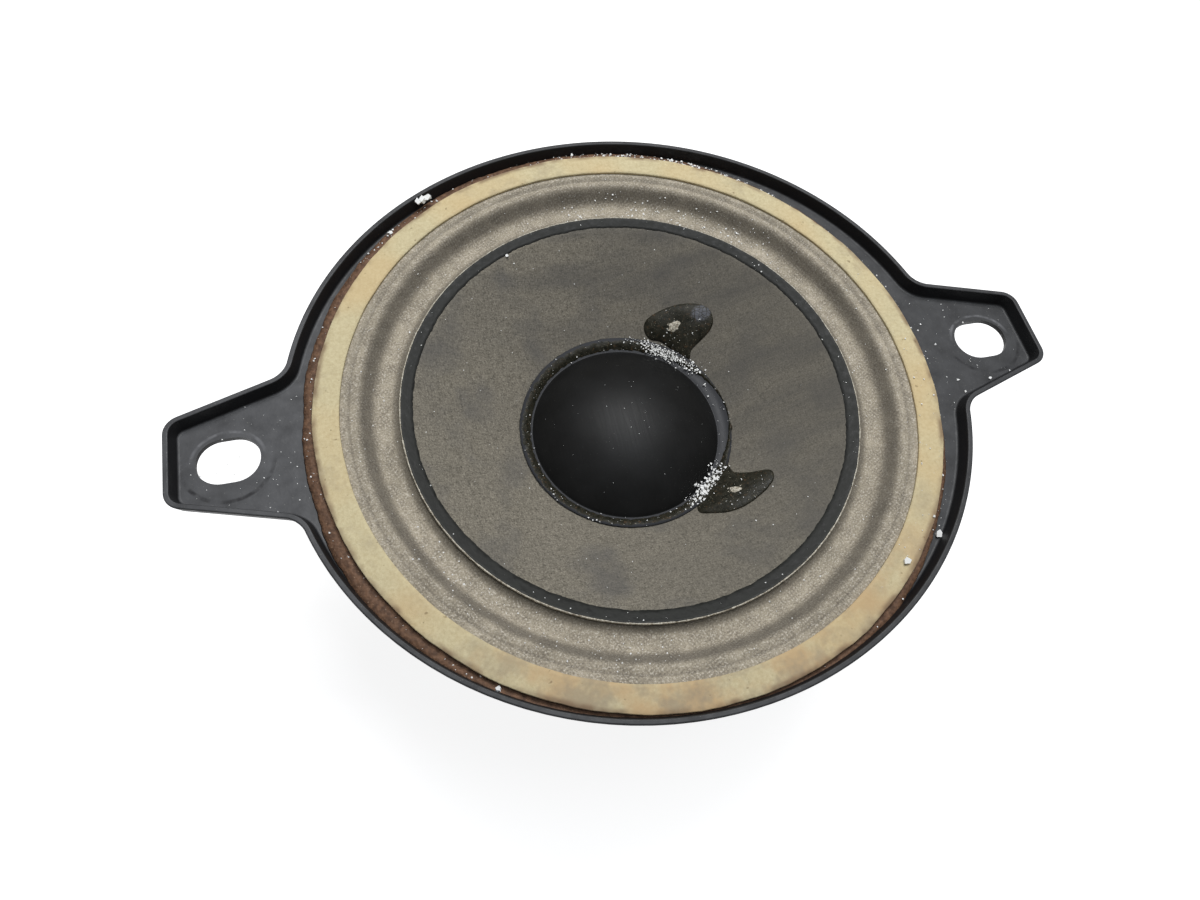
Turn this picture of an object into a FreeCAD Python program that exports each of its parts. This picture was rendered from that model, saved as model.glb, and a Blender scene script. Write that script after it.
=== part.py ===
import FreeCAD, Part
import math
import os

# Loudspeaker driver with two fixing ears, lying face up.
# Millimetres.  Z = 0 is the front face of the ears, +Z points at the listener,
# X runs from ear to ear, and the origin is on the axis of the voice coil.

# ---- driving dimensions: pressed steel basket ----
sheet = 0.75
flange_half_x = 48.35
flange_half_y = 46.0
flange_shift_x = 0.35
flange_shift_y = 0.7
rim_height = 2.0
rim_lean_deg = 15.0
floor_bend = 0.4
rim_edge_round = 0.2
slot_pitch = 110.0
slot_length = 8.2
slot_width = 6.5
ear_overhang = 7.5
ear_half_width = 8.35
ear_taper_deg = 16.7
ear_corner_r = 2.6
ear_root_r = 3.6
ear_root_share = 0.8
mouth_drop = 4.0
shelf_width = 5.0
shelf_to_base = 5.2
window_count = 4
window_top_width = 26.0
window_bottom_width = 20.0
window_corner_r = 2.0
window_corner_share = 0.4
window_top_margin = 1.4
window_bottom_margin = 1.6
base_to_plate_edge = 1.2
step_draft = 0.6

# ---- front rings ----
gasket_margin = 1.35
gasket_width = 3.45
gasket_thickness = 0.45
cement_overhang = 1.0
cement_thickness = 0.65
cement_shift_x = -0.2
cement_shift_y = 0.2
lip_show = 1.05
lip_step = 0.6
lip_under_gasket = 3.05
cement_setback = 0.7

# ---- moving parts ----
surround_width = 6.7
cloth = 0.35
crease_drop = 0.4
crest_share = 0.87
crest_drop = 0.2
wall_share = 0.66
wall_drop = 1.4
wall_slope = 1.3
trough_share = 0.355
trough_drop = 2.75
inner_slope = -0.75
inner_step = 0.2
bond_gap = 0.06
paper = 0.5
cone_angle_deg = 31.5
rim_angle_deg = 20.0
rim_band = 1.85
rim_z = -0.55
edge_glue_thickness = 0.12
former_inner_r = 12.4
former_wall = 0.25
former_above_neck = 0.5
former_below_coil = 0.15
coil_build = 0.6
coil_length = 7.0
collar_wall = 0.15
collar_gap = 0.4
dust_cap_overhang = 1.55
dust_cap_rise = 5.2
dust_cap_wall = 0.4
cap_glue_width = 2.0
cap_glue_shoulder = 0.6
neck_glue_width = 1.3
neck_glue_share = 0.6
spider_glue_height = 0.85
spider_glue_width = 1.6
neck_to_shelf = 3.4
spider_waves = 3
spider_wave_share = 0.13
spider_cloth = 0.4
spider_inner_lip = 1.8
spider_seat_gap = 0.7
spider_lip_margin = 0.4
shelf_glue_height = 0.5
shelf_glue_width = 1.4

# ---- magnet system ----
gap_clearance = 0.4
plate_thickness = 3.5
magnet_r = 27.5
magnet_thickness = 9.0
magnet_step = 2.5
magnet_glue = 0.12
magnet_inner_gap = 2.5
magnet_chamfer = 0.6
glue_setback = 0.4
pole_spigot_r = 8.0
pole_chamfer = 0.4
plate_chamfer = 0.5
base_hole_margin = 1.2
rivet_count = 4
rivet_head_share = 0.255
rivet_shank_share = 0.61
rivet_head_height = 0.7
head_round_share = 0.55
rivet_depth = 2.0

# ---- terminals and leads ----
board_length = 9.7
board_half_width = 9.5
board_thickness = 1.5
board_clearance = 2.9
board_corner_r = 1.0
flap_length = 8.8
flap_half_width = 3.6
flap_corner_r = 1.2
flap_root = 1.0
arm_window_half_width = 8.5
tab_spacing = 12.4
tab_thickness = 0.8
tab_inset = 0.5
tab_corner_r = 0.5
tab_overhang = 3.0
positive_tab_width = 4.8
negative_tab_width = 2.8
eyelet_r = 0.9
eyelet_head_r = 1.6
eyelet_head_height = 0.45
board_rivet_r = 1.3
board_rivet_head_r = 2.1
rivet_from_board_edge = 3.2
eyelet_from_board_edge = 6.2
solder_from_board_edge = 1.9
solder_r = 1.35
solder_height = 0.95
lead_r = 0.4
lead_exit_radius_margin = 2.8
lead_clearance = 1.2
lead_rest_gap = 0.15
lead_bow = 0.2
lead_bend_share = 0.45
lead_drop_share_x = 0.03
lead_drop_share_y = 0.02
lead_arrival_share = 0.9
lead_arrival_rise = 0.45
lead_waypoints = [
    # share of the way along X, share along Y, height above the lowest run, outward bow
    (0.16, 0.12, 0.5, 0.0),
    (0.36, 0.33, 0.0, 0.0),
    (0.57, 0.62, 0.3, 0.0),
    (0.76, 0.86, 0.75, 0.2),
]
lead_angles_deg = {"positive": 53.0, "negative": -48.0}
blob_half_length = 4.9
blob_half_width = 3.1
blob_height = 1.15
coil_wire_r = 0.15

# ---- radii that follow ----
gasket_outer_r = flange_half_y - sheet - gasket_margin
gasket_inner_r = gasket_outer_r - gasket_width
mouth_r = gasket_inner_r - lip_show
cone_edge_r = mouth_r - surround_width
rim_inner_r = cone_edge_r - rim_band
former_outer_r = former_inner_r + former_wall
coil_outer_r = former_outer_r + coil_build
pole_r = former_inner_r - gap_clearance
gap_outer_r = coil_outer_r + gap_clearance
dust_cap_r = former_outer_r + dust_cap_overhang
cap_glue_r = dust_cap_r + cap_glue_width
plate_r = magnet_r - magnet_step
base_r = plate_r - base_to_plate_edge
shelf_inner_r = base_r + step_draft
shelf_outer_r = shelf_inner_r + shelf_width
base_hole_r = gap_outer_r + base_hole_margin
rivet_head_r = (base_r - base_hole_r) * rivet_head_share
rivet_r = rivet_head_r * rivet_shank_share
lead_exit_r = cap_glue_r + lead_exit_radius_margin
spider_wave_in = former_outer_r + spider_inner_lip
spider_wave_out = shelf_inner_r - spider_lip_margin
spider_pitch = (spider_wave_out - spider_wave_in) / spider_waves
spider_wave_height = spider_pitch * spider_wave_share

# ---- heights that follow ----
lip_z = cement_thickness + cloth
gasket_z = lip_z + gasket_thickness
rim_lean = math.tan(math.radians(rim_lean_deg))
cone_slope = math.tan(math.radians(cone_angle_deg))
rim_slope = math.tan(math.radians(rim_angle_deg))
paper_drop = paper / math.cos(math.radians(cone_angle_deg))
rim_inner_z = rim_z - rim_band * rim_slope
neck_z = rim_inner_z - (rim_inner_r - former_outer_r) * cone_slope
shelf_z = neck_z - neck_to_shelf
base_z = shelf_z - shelf_to_base
plate_top_z = base_z - sheet
plate_bottom_z = plate_top_z - plate_thickness
magnet_top_z = plate_bottom_z - magnet_glue
magnet_bottom_z = magnet_top_z - magnet_thickness
back_top_z = magnet_bottom_z - magnet_glue
back_z = back_top_z - plate_thickness
coil_centre_z = (plate_top_z + plate_bottom_z) / 2
coil_top_z = coil_centre_z + coil_length / 2
coil_bottom_z = coil_centre_z - coil_length / 2
board_x = shelf_outer_r + board_clearance
board_top_z = shelf_z + board_thickness
tab_top_z = board_top_z + tab_thickness

AXIS = FreeCAD.Vector(0, 0, 1)
ORIGIN = FreeCAD.Vector(0, 0, 0)


def at(x, y, z):
    return FreeCAD.Vector(x, y, z)


def cylinder(radius, low, high, x=0.0, y=0.0):
    return Part.makeCylinder(radius, high - low, at(x, y, low), AXIS)


def ring(inner, outer, low, high):
    return cylinder(outer, low, high).cut(cylinder(inner, low - 1, high + 1))


def turned(points):
    """Turn a closed chain of (radius, height) corners about the axis."""
    corners = [at(r, 0, z) for r, z in points]
    return Part.Face(Part.makePolygon(corners + corners[:1])).revolve(ORIGIN, AXIS, 360)


def turned_edges(edges):
    return Part.Face(Part.Wire(edges)).revolve(ORIGIN, AXIS, 360)


def line(a, b):
    return Part.makeLine(at(a[0], 0, a[1]), at(b[0], 0, b[1]))


def arc(a, middle, b):
    return Part.Arc(at(a[0], 0, a[1]), at(middle[0], 0, middle[1]), at(b[0], 0, b[1])).toShape()


def cone_top(radius):
    """Height of the paper's front face."""
    if radius > rim_inner_r:
        return rim_inner_z + (radius - rim_inner_r) * rim_slope
    return rim_inner_z - (rim_inner_r - radius) * cone_slope


def cone_back(radius):
    return cone_top(radius) - paper_drop


def upright_edges(shape, wanted):
    """Edges parallel to Z whose (x, y) passes the test."""
    found = []
    for edge in shape.Edges:
        box = edge.BoundBox
        if box.ZLength > 0.5 and max(box.XLength, box.YLength) < 1e-4:
            if wanted(box.XMin, box.YMin):
                found.append(edge)
    return found


def flange_plan(inset, low, high):
    """The flange's outline moved in by inset, as an upright block."""
    middle = at(flange_shift_x, flange_shift_y, 0)
    ellipse = Part.Ellipse(middle, flange_half_x - inset, flange_half_y - inset)
    block = Part.Face(Part.Wire(ellipse.toShape())).extrude(at(0, 0, high - low))
    block.translate(at(0, 0, low))
    taper = math.tan(math.radians(ear_taper_deg))
    slant = inset / math.cos(math.radians(ear_taper_deg))
    tip_x = slot_pitch / 2 + ear_overhang - inset
    root_x = flange_half_x * ear_root_share

    def half_width(x):
        return ear_half_width - slant - (x - slot_pitch / 2) * taper

    for side in (-1, 1):
        corners = [
            at(side * root_x, -half_width(root_x), low),
            at(side * tip_x, -half_width(tip_x), low),
            at(side * tip_x, half_width(tip_x), low),
            at(side * root_x, half_width(root_x), low),
        ]
        outline = Part.Face(Part.makePolygon(corners + corners[:1]))
        block = block.fuse(outline.extrude(at(0, 0, high - low)))
    block = block.removeSplitter()
    tips = upright_edges(block, lambda x, y: abs(abs(x) - tip_x) < 0.01)
    block = block.makeFillet(ear_corner_r - inset, tips)
    roots = upright_edges(
        block, lambda x, y: root_x < abs(x) < flange_half_x and abs(y) > slot_width / 2
    )
    return block.makeFillet(ear_root_r + inset, roots)


def flange_outline(inset, height):
    """The flange's outline at one height, moved in by inset."""
    block = flange_plan(inset, height, height + 1)
    return min(block.Faces, key=lambda face: face.CenterOfMass.z).OuterWire


def leaning_block(inset, low, high):
    """The block whose outline is moved in by inset at the rim's top and leans outward."""
    outlines = [flange_outline(inset + (rim_height - z) * rim_lean, z) for z in (low, high)]
    return Part.makeLoft(outlines, True, True)


def level_edges(shape, height):
    """Edges that lie at one height."""
    found = []
    for edge in shape.Edges:
        box = edge.BoundBox
        if abs(box.ZMin - height) < 1e-3 and abs(box.ZMax - height) < 1e-3:
            found.append(edge)
    return found


def slot_block(x, low, high):
    """An obround slot that runs along X, centred on x."""
    half = (slot_length - slot_width) / 2
    block = Part.makeBox(2 * half, slot_width, high - low, at(x - half, -slot_width / 2, low))
    for end in (x - half, x + half):
        block = block.fuse(cylinder(slot_width / 2, low, high, end))
    return block


def tray():
    """The flange: a shallow pan whose rim stands up round the whole outline."""
    outer = leaning_block(0.0, -sheet, rim_height)
    outer = outer.makeFillet(floor_bend + sheet / 2, level_edges(outer, -sheet))
    inner = leaning_block(sheet / math.cos(math.radians(rim_lean_deg)), 0.0, rim_height + 1)
    inner = inner.makeFillet(floor_bend, level_edges(inner, 0.0))
    pan = outer.cut(inner)
    pan = pan.makeFillet(rim_edge_round, level_edges(pan, rim_height))
    pan = pan.cut(cylinder(mouth_r, -sheet - 1, 1))
    for side in (-1, 1):
        pan = pan.cut(slot_block(side * slot_pitch / 2, -sheet - 1, 1))
    return pan


def bowl():
    """The drawn body: mouth, tapering wall, spider shelf, step and base."""
    inside = [
        (mouth_r, 0),
        (mouth_r, -mouth_drop),
        (shelf_outer_r, shelf_z),
        (shelf_inner_r, shelf_z),
        (base_r, base_z),
        (base_hole_r, base_z),
    ]
    outside = [
        (base_hole_r, plate_top_z),
        (base_r + sheet, plate_top_z),
        (shelf_inner_r + sheet, shelf_z - sheet),
        (shelf_outer_r + sheet, shelf_z - sheet),
        (mouth_r + sheet, -mouth_drop - sheet / 2),
        (mouth_r + sheet, 0),
    ]
    return turned(inside + outside)


def upright_window(top_width, bottom_width, low, high, angle_deg):
    """A rounded trapezium pushed outward through the wall."""
    near = shelf_inner_r
    corners = [
        at(near, -bottom_width / 2, low),
        at(near, bottom_width / 2, low),
        at(near, top_width / 2, high),
        at(near, -top_width / 2, high),
    ]
    outline = Part.Face(Part.makePolygon(corners + corners[:1]))
    block = outline.extrude(at(mouth_r, 0, 0))
    lengthwise = [e for e in block.Edges if e.BoundBox.XLength > mouth_r / 2]
    corner_r = min(window_corner_r, window_corner_share * (high - low))
    block = block.makeFillet(corner_r, lengthwise)
    block.rotate(ORIGIN, AXIS, angle_deg)
    return block


def rounded_plate(x0, x1, half_width, low, high, corner_r):
    block = Part.makeBox(x1 - x0, 2 * half_width, high - low, at(x0, -half_width, low))
    return block.makeFillet(corner_r, upright_edges(block, lambda x, y: True))


def basket():
    body = tray().fuse(bowl())
    window_top = -mouth_drop - window_top_margin
    window_bottom = shelf_z + window_bottom_margin
    step = 360.0 / window_count
    for index in range(window_count):
        body = body.cut(
            upright_window(
                window_top_width,
                window_bottom_width,
                window_bottom,
                window_top,
                step * (index + 0.5),
            )
        )
    body = body.cut(
        upright_window(
            2 * arm_window_half_width,
            2 * arm_window_half_width,
            shelf_z + window_bottom_margin / 2,
            window_top,
            0.0,
        )
    )
    flap = rounded_plate(
        shelf_outer_r - flap_root,
        shelf_outer_r + flap_length,
        flap_half_width,
        shelf_z - sheet,
        shelf_z,
        flap_corner_r,
    )
    flap = flap.cut(cylinder(shelf_outer_r - flap_root / 2, shelf_z - 2 * sheet, shelf_z + 1))
    body = body.fuse(flap)
    body = body.cut(cylinder(board_rivet_r, shelf_z - 2, shelf_z + 1, board_rivet_x()))
    for x, y in rivet_places():
        body = body.cut(cylinder(rivet_r, plate_top_z - 1, base_z + 1, x, y))
    return body.removeSplitter()


def rivet_places():
    radius = (base_hole_r + base_r) / 2
    step = 2 * math.pi / rivet_count
    angles = [step * (index + 0.5) for index in range(rivet_count)]
    return [(radius * math.cos(angle), radius * math.sin(angle)) for angle in angles]


def board_rivet_x():
    return board_x + rivet_from_board_edge


def surround_outer_lip_r():
    return gasket_inner_r + lip_under_gasket


def surround():
    """Doped cloth with one S-shaped wave, from under the gasket to under the cone's edge."""
    inner_r = cone_edge_r + inner_step
    crease_r = mouth_r - bond_gap
    lip_end_r = mouth_r + lip_step
    width = crease_r - inner_r
    end_r = rim_inner_r + 2 * inner_step
    under_z = cone_back(cone_edge_r) - bond_gap
    end_z = cone_back(end_r) - bond_gap
    wave = [
        (lip_end_r, lip_z, 0.0),
        (crease_r, lip_z - crease_drop, 0.0),
        (inner_r + width * crest_share, lip_z - crest_drop, 0.0),
        (inner_r + width * wall_share, lip_z - wall_drop, wall_slope),
        (inner_r + width * trough_share, lip_z - trough_drop, 0.0),
        (inner_r, under_z, inner_slope),
    ]

    def skin(drop):
        curve = Part.BSplineCurve()
        curve.interpolate(
            Points=[at(radius, 0, z - drop) for radius, z, slope in wave],
            Tangents=[at(-width / 4, 0, -width / 4 * slope) for radius, z, slope in wave],
            TangentFlags=[True] * len(wave),
        )
        return [
            line((surround_outer_lip_r(), lip_z - drop), (lip_end_r, lip_z - drop)),
            curve.toShape(),
            line((inner_r, under_z - drop), (cone_edge_r, under_z - drop)),
            line((cone_edge_r, under_z - drop), (end_r, end_z - drop)),
        ]

    closing = [
        line((surround_outer_lip_r(), lip_z), (surround_outer_lip_r(), lip_z - cloth)),
        line((end_r, end_z), (end_r, end_z - cloth)),
    ]
    loop = Part.Wire(Part.__sortEdges__(skin(0.0) + skin(cloth) + closing))
    return Part.Face(loop).revolve(ORIGIN, AXIS, 360)


def gasket():
    return ring(gasket_inner_r, gasket_outer_r, lip_z, gasket_z)


def gasket_cement(basket_solid):
    """The cork-filled cement bead, laid slightly off centre by hand."""
    disc = cylinder(gasket_outer_r + cement_overhang, 0, cement_thickness, cement_shift_x, cement_shift_y)
    bead = disc.cut(cylinder(mouth_r + cement_setback, -1, cement_thickness + 1))
    bead = bead.fuse(ring(surround_outer_lip_r(), gasket_outer_r, 0, lip_z))
    return bead.cut(basket_solid).removeSplitter()


def cone():
    return turned(
        [
            (former_outer_r, cone_top(former_outer_r)),
            (rim_inner_r, cone_top(rim_inner_r)),
            (cone_edge_r, cone_top(cone_edge_r)),
            (cone_edge_r, cone_back(cone_edge_r)),
            (rim_inner_r, cone_back(rim_inner_r)),
            (former_outer_r, cone_back(former_outer_r)),
        ]
    )


def cone_edge_glue():
    return turned(
        [
            (rim_inner_r, cone_top(rim_inner_r)),
            (cone_edge_r, cone_top(cone_edge_r)),
            (cone_edge_r, cone_top(cone_edge_r) + edge_glue_thickness),
            (rim_inner_r, cone_top(rim_inner_r) + edge_glue_thickness),
        ]
    )


def dust_cap():
    edge_z = cone_top(dust_cap_r) + dust_cap_wall
    radius = (dust_cap_r**2 + dust_cap_rise**2) / (2 * dust_cap_rise)
    centre_z = edge_z + dust_cap_rise - radius
    half = dust_cap_r / 2

    def dome(drop):
        top = centre_z + radius - drop
        middle = centre_z + math.sqrt(radius**2 - half**2) - drop
        return [(0, top), (half, middle), (dust_cap_r, edge_z - drop)]

    outer = dome(0.0)
    inner = dome(dust_cap_wall)
    return turned_edges(
        [
            arc(outer[0], outer[1], outer[2]),
            line(outer[2], inner[2]),
            arc(inner[2], inner[1], inner[0]),
            line(inner[0], outer[0]),
        ]
    )


def dust_cap_glue():
    shoulder_r = dust_cap_r + cap_glue_width * cap_glue_shoulder
    return turned(
        [
            (dust_cap_r, cone_top(dust_cap_r)),
            (dust_cap_r, cone_top(dust_cap_r) + dust_cap_wall),
            (shoulder_r, cone_top(shoulder_r) + dust_cap_wall),
            (cap_glue_r, cone_top(cap_glue_r)),
        ]
    )


def lead_blob(angle_deg, neighbours):
    """A petal of glue over the place where a lead passes through the cone."""
    blob = Part.makeSphere(1.0)
    shape = FreeCAD.Matrix()
    shape.scale(blob_half_length, blob_half_width, blob_height)
    blob = blob.transformGeometry(shape)
    blob.rotate(ORIGIN, at(0, 1, 0), -cone_angle_deg)
    blob.translate(at(lead_exit_r, 0, cone_top(lead_exit_r)))
    blob.rotate(ORIGIN, AXIS, angle_deg)
    for other in neighbours:
        blob = blob.cut(other)
    return max(blob.Solids, key=lambda solid: solid.CenterOfMass.z)


def former():
    return ring(
        former_inner_r, former_outer_r, coil_bottom_z - former_below_coil, neck_z + former_above_neck
    )


def winding():
    return ring(former_outer_r, coil_outer_r, coil_bottom_z, coil_top_z)


def collar():
    return ring(
        former_outer_r, former_outer_r + collar_wall, coil_top_z + collar_gap, shelf_z - collar_gap
    )


def neck_glue():
    outer = former_outer_r + neck_glue_width
    return turned(
        [
            (former_outer_r, cone_back(former_outer_r)),
            (outer, cone_back(outer)),
            (former_outer_r, cone_back(former_outer_r) - neck_glue_width * neck_glue_share),
        ]
    )


def spider_hub_glue():
    low = shelf_z + spider_cloth + bond_gap
    return turned(
        [
            (former_outer_r, low),
            (former_outer_r + spider_glue_width, low),
            (former_outer_r, low + spider_glue_height),
        ]
    )


def coil_lead(angle_deg):
    radius = former_outer_r + collar_wall + coil_wire_r
    x = radius * math.cos(math.radians(angle_deg))
    y = radius * math.sin(math.radians(angle_deg))
    return cylinder(coil_wire_r, coil_top_z, neck_z - neck_glue_width, x, y)


def spider():
    """Corrugated cloth disc from the coil former to the basket's shelf."""
    lip_in = former_outer_r + collar_wall + 2 * coil_wire_r + bond_gap
    lip_out = shelf_outer_r - spider_seat_gap
    quarter = spider_pitch / 4

    def chain(low):
        edges = [line((lip_in, low), (spider_wave_in, low))]
        for index in range(spider_waves):
            start = spider_wave_in + index * spider_pitch
            half = start + 2 * quarter
            end = start + spider_pitch
            edges.append(arc((start, low), (start + quarter, low + spider_wave_height), (half, low)))
            edges.append(arc((half, low), (half + quarter, low - spider_wave_height), (end, low)))
        edges.append(line((spider_wave_out, low), (lip_out, low)))
        return edges

    low = shelf_z
    high = shelf_z + spider_cloth
    sides = [line((lip_in, low), (lip_in, high)), line((lip_out, low), (lip_out, high))]
    loop = Part.Wire(Part.__sortEdges__(chain(low) + chain(high) + sides))
    return Part.Face(loop).revolve(ORIGIN, AXIS, 360)


def spider_shelf_glue():
    outer = shelf_outer_r - spider_seat_gap
    low = shelf_z + spider_cloth
    return ring(outer - shelf_glue_width, outer, low, low + shelf_glue_height)


def top_plate():
    plate = ring(gap_outer_r, plate_r, plate_bottom_z, plate_top_z)
    for x, y in rivet_places():
        plate = plate.cut(cylinder(rivet_r, plate_top_z - rivet_depth, plate_top_z + 1, x, y))
    return plate


def magnet_inner_r():
    return gap_outer_r + magnet_inner_gap


def magnet():
    block = ring(magnet_inner_r(), magnet_r, magnet_bottom_z, magnet_top_z)
    rims = level_edges(block, magnet_top_z) + level_edges(block, magnet_bottom_z)
    return block.makeChamfer(magnet_chamfer, rims)


def magnet_glue_layer(low):
    return ring(magnet_inner_r() + glue_setback, plate_r - glue_setback, low, low + magnet_glue)


def back_plate():
    plate = cylinder(plate_r, back_z, back_top_z)
    plate = plate.makeChamfer(plate_chamfer, level_edges(plate, back_z))
    return plate.cut(cylinder(pole_spigot_r, back_z - 1, back_top_z + 1))


def pole_piece():
    pole = cylinder(pole_r, back_top_z, plate_top_z)
    pole = pole.makeChamfer(pole_chamfer, level_edges(pole, plate_top_z))
    return pole.fuse(cylinder(pole_spigot_r, back_z, back_top_z)).removeSplitter()


def basket_rivets():
    rivets = []
    for x, y in rivet_places():
        shank = cylinder(rivet_r, plate_top_z - rivet_depth, base_z, x, y)
        head_top = base_z + rivet_head_height
        head = cylinder(rivet_head_r, base_z, head_top, x, y)
        head = head.makeFillet(rivet_head_height * head_round_share, level_edges(head, head_top))
        rivets.append(shank.fuse(head))
    return Part.makeCompound(rivets)


def tab_y(name):
    return tab_spacing / 2 if name == "positive" else -tab_spacing / 2


def eyelet_x():
    return board_x + eyelet_from_board_edge


def terminal_board():
    board = rounded_plate(
        board_x, board_x + board_length, board_half_width, shelf_z, board_top_z, board_corner_r
    )
    board = board.cut(cylinder(board_rivet_r, shelf_z - 1, board_top_z + 1, board_rivet_x()))
    for name in lead_angles_deg:
        board = board.cut(cylinder(eyelet_r, shelf_z - 1, board_top_z + 1, eyelet_x(), tab_y(name)))
    return board


def terminal_tab(name):
    width = positive_tab_width if name == "positive" else negative_tab_width
    tab = rounded_plate(
        board_x + tab_inset,
        board_x + board_length + tab_overhang,
        width / 2,
        board_top_z,
        tab_top_z,
        tab_corner_r,
    )
    tab.translate(at(0, tab_y(name), 0))
    return tab.cut(cylinder(eyelet_r, shelf_z - 1, tab_top_z + 1, eyelet_x(), tab_y(name)))


def headed_pin(x, y, low, high, radius, head_r, head_height):
    """A pin with a rounded head below low and another above high."""
    pin = cylinder(radius, low, high, x, y)
    for base, outer in ((low - head_height, low - head_height), (high, high + head_height)):
        head = cylinder(head_r, base, base + head_height, x, y)
        head = head.makeFillet(head_height * head_round_share, level_edges(head, outer))
        pin = pin.fuse(head)
    return pin


def terminal_eyelets():
    return Part.makeCompound(
        [
            headed_pin(
                eyelet_x(), tab_y(name), shelf_z, tab_top_z, eyelet_r, eyelet_head_r, eyelet_head_height
            )
            for name in lead_angles_deg
        ]
    )


def board_rivet():
    return headed_pin(
        board_rivet_x(),
        0.0,
        shelf_z - sheet,
        board_top_z,
        board_rivet_r,
        board_rivet_head_r,
        rivet_head_height,
    )


def solder_place(name):
    return (board_x + solder_from_board_edge, tab_y(name))


def solder_joints():
    drops = []
    for name in lead_angles_deg:
        x, y = solder_place(name)
        radius = (solder_r**2 + solder_height**2) / (2 * solder_height)
        ball = Part.makeSphere(radius, at(x, y, tab_top_z + solder_height - radius))
        drops.append(ball.common(cylinder(solder_r + 1, tab_top_z, tab_top_z + solder_height + 1, x, y)))
    return Part.makeCompound(drops)


def smooth_path(points):
    """Straight runs joined by tangent arcs as large as the runs allow."""
    edges = []
    radii = []
    start = points[0]
    for before, corner, after in zip(points, points[1:], points[2:]):
        back = before - corner
        ahead = after - corner
        reach = lead_bend_share * min(back.Length, ahead.Length)
        back.normalize()
        ahead.normalize()
        half_turn = (math.pi - back.getAngle(ahead)) / 2
        radius = reach / math.tan(half_turn)
        radii.append(radius)
        enter = corner + back * reach
        leave = corner + ahead * reach
        bisector = back + ahead
        bisector.normalize()
        centre = corner + bisector * (radius / math.cos(half_turn))
        middle = centre - bisector * radius
        edges.append(Part.LineSegment(start, enter).toShape())
        edges.append(Part.Arc(enter, middle, leave).toShape())
        start = leave
    edges.append(Part.LineSegment(start, points[-1]).toShape())
    return Part.Wire(edges), radii


def lead_route(name):
    """Tinsel lead from the back of the cone to the solder on its tab."""
    side = 1 if name == "positive" else -1
    angle = math.radians(lead_angles_deg[name])
    x0 = lead_exit_r * math.cos(angle)
    y0 = lead_exit_r * math.sin(angle)
    x1, y1 = solder_place(name)
    top = cone_back(lead_exit_r) - lead_r * cone_slope - 2 * bond_gap
    low = shelf_z + spider_cloth + spider_wave_height + lead_clearance
    end = tab_top_z + lead_r + lead_rest_gap
    span_x = x1 - x0
    span_y = y1 - y0
    drop_x = x0 + lead_drop_share_x * span_x
    drop_y = y0 + lead_drop_share_y * span_y
    route = [at(x0, y0, top), at(drop_x, drop_y, (top + low) / 2)]
    for share_x, share_y, rise, bow in lead_waypoints:
        route.append(at(x0 + share_x * span_x, y0 + share_y * span_y + bow * side, low + rise))
    arrival_x = x0 + lead_arrival_share * span_x
    route.append(at(arrival_x, y1 + lead_bow * side, end + lead_arrival_rise))
    route.append(at(x1, y1, end))
    return route


def lead(name):
    points = lead_route(name)
    path, radii = smooth_path(points)
    heading = points[1] - points[0]
    section = Part.Wire(Part.makeCircle(lead_r, points[0], heading))
    tube = path.makePipeShell([section], True, False)
    share = tube.Volume / (math.pi * lead_r**2 * path.Length)
    print(f"lead_{name} length {path.Length:.1f} least radius {min(radii):.2f} volume share {share:.3f}")
    return tube


def build():
    nodes = {}
    nodes["basket"] = basket()
    nodes["surround"] = surround()
    nodes["gasket_ring"] = gasket()
    nodes["gasket_cement"] = gasket_cement(nodes["basket"])
    nodes["cone"] = cone()
    nodes["cone_edge_glue"] = cone_edge_glue()
    nodes["dust_cap"] = dust_cap()
    nodes["dust_cap_glue"] = dust_cap_glue()
    nodes["voice_coil_former"] = former()
    nodes["voice_coil_winding"] = winding()
    nodes["voice_coil_collar"] = collar()
    nodes["spider"] = spider()
    nodes["spider_shelf_glue"] = spider_shelf_glue()
    nodes["top_plate"] = top_plate()
    nodes["magnet_glue_front"] = magnet_glue_layer(magnet_top_z)
    nodes["magnet_ring"] = magnet()
    nodes["magnet_glue_back"] = magnet_glue_layer(back_top_z)
    nodes["back_plate"] = back_plate()
    nodes["pole_piece"] = pole_piece()
    nodes["basket_rivets"] = basket_rivets()
    nodes["terminal_board"] = terminal_board()
    nodes["terminal_board_rivet"] = board_rivet()
    nodes["terminal_eyelets"] = terminal_eyelets()
    nodes["solder_joints"] = solder_joints()
    hub_glue = spider_hub_glue()
    under_neck = neck_glue()
    for name, angle in lead_angles_deg.items():
        around = [nodes["cone"], nodes["dust_cap"], nodes["dust_cap_glue"]]
        nodes[f"lead_glue_{name}"] = lead_blob(angle, around)
        wire = coil_lead(angle)
        under_neck = under_neck.cut(wire)
        hub_glue = hub_glue.cut(wire)
        nodes[f"coil_wire_{name}"] = wire.cut(nodes["cone"])
        nodes[f"terminal_tab_{name}"] = terminal_tab(name)
        nodes[f"lead_{name}"] = lead(name)
    nodes["neck_glue"] = under_neck
    nodes["spider_hub_glue"] = hub_glue
    return nodes


os.makedirs("parts", exist_ok=True)
for node, solid in build().items():
    count = len(solid.Solids)
    print(f"{node}: solids {count}, valid {solid.isValid()}, volume {solid.Volume:.1f} mm3")
    solid.exportStep(f"parts/{node}.step")
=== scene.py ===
import math
import random

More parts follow.
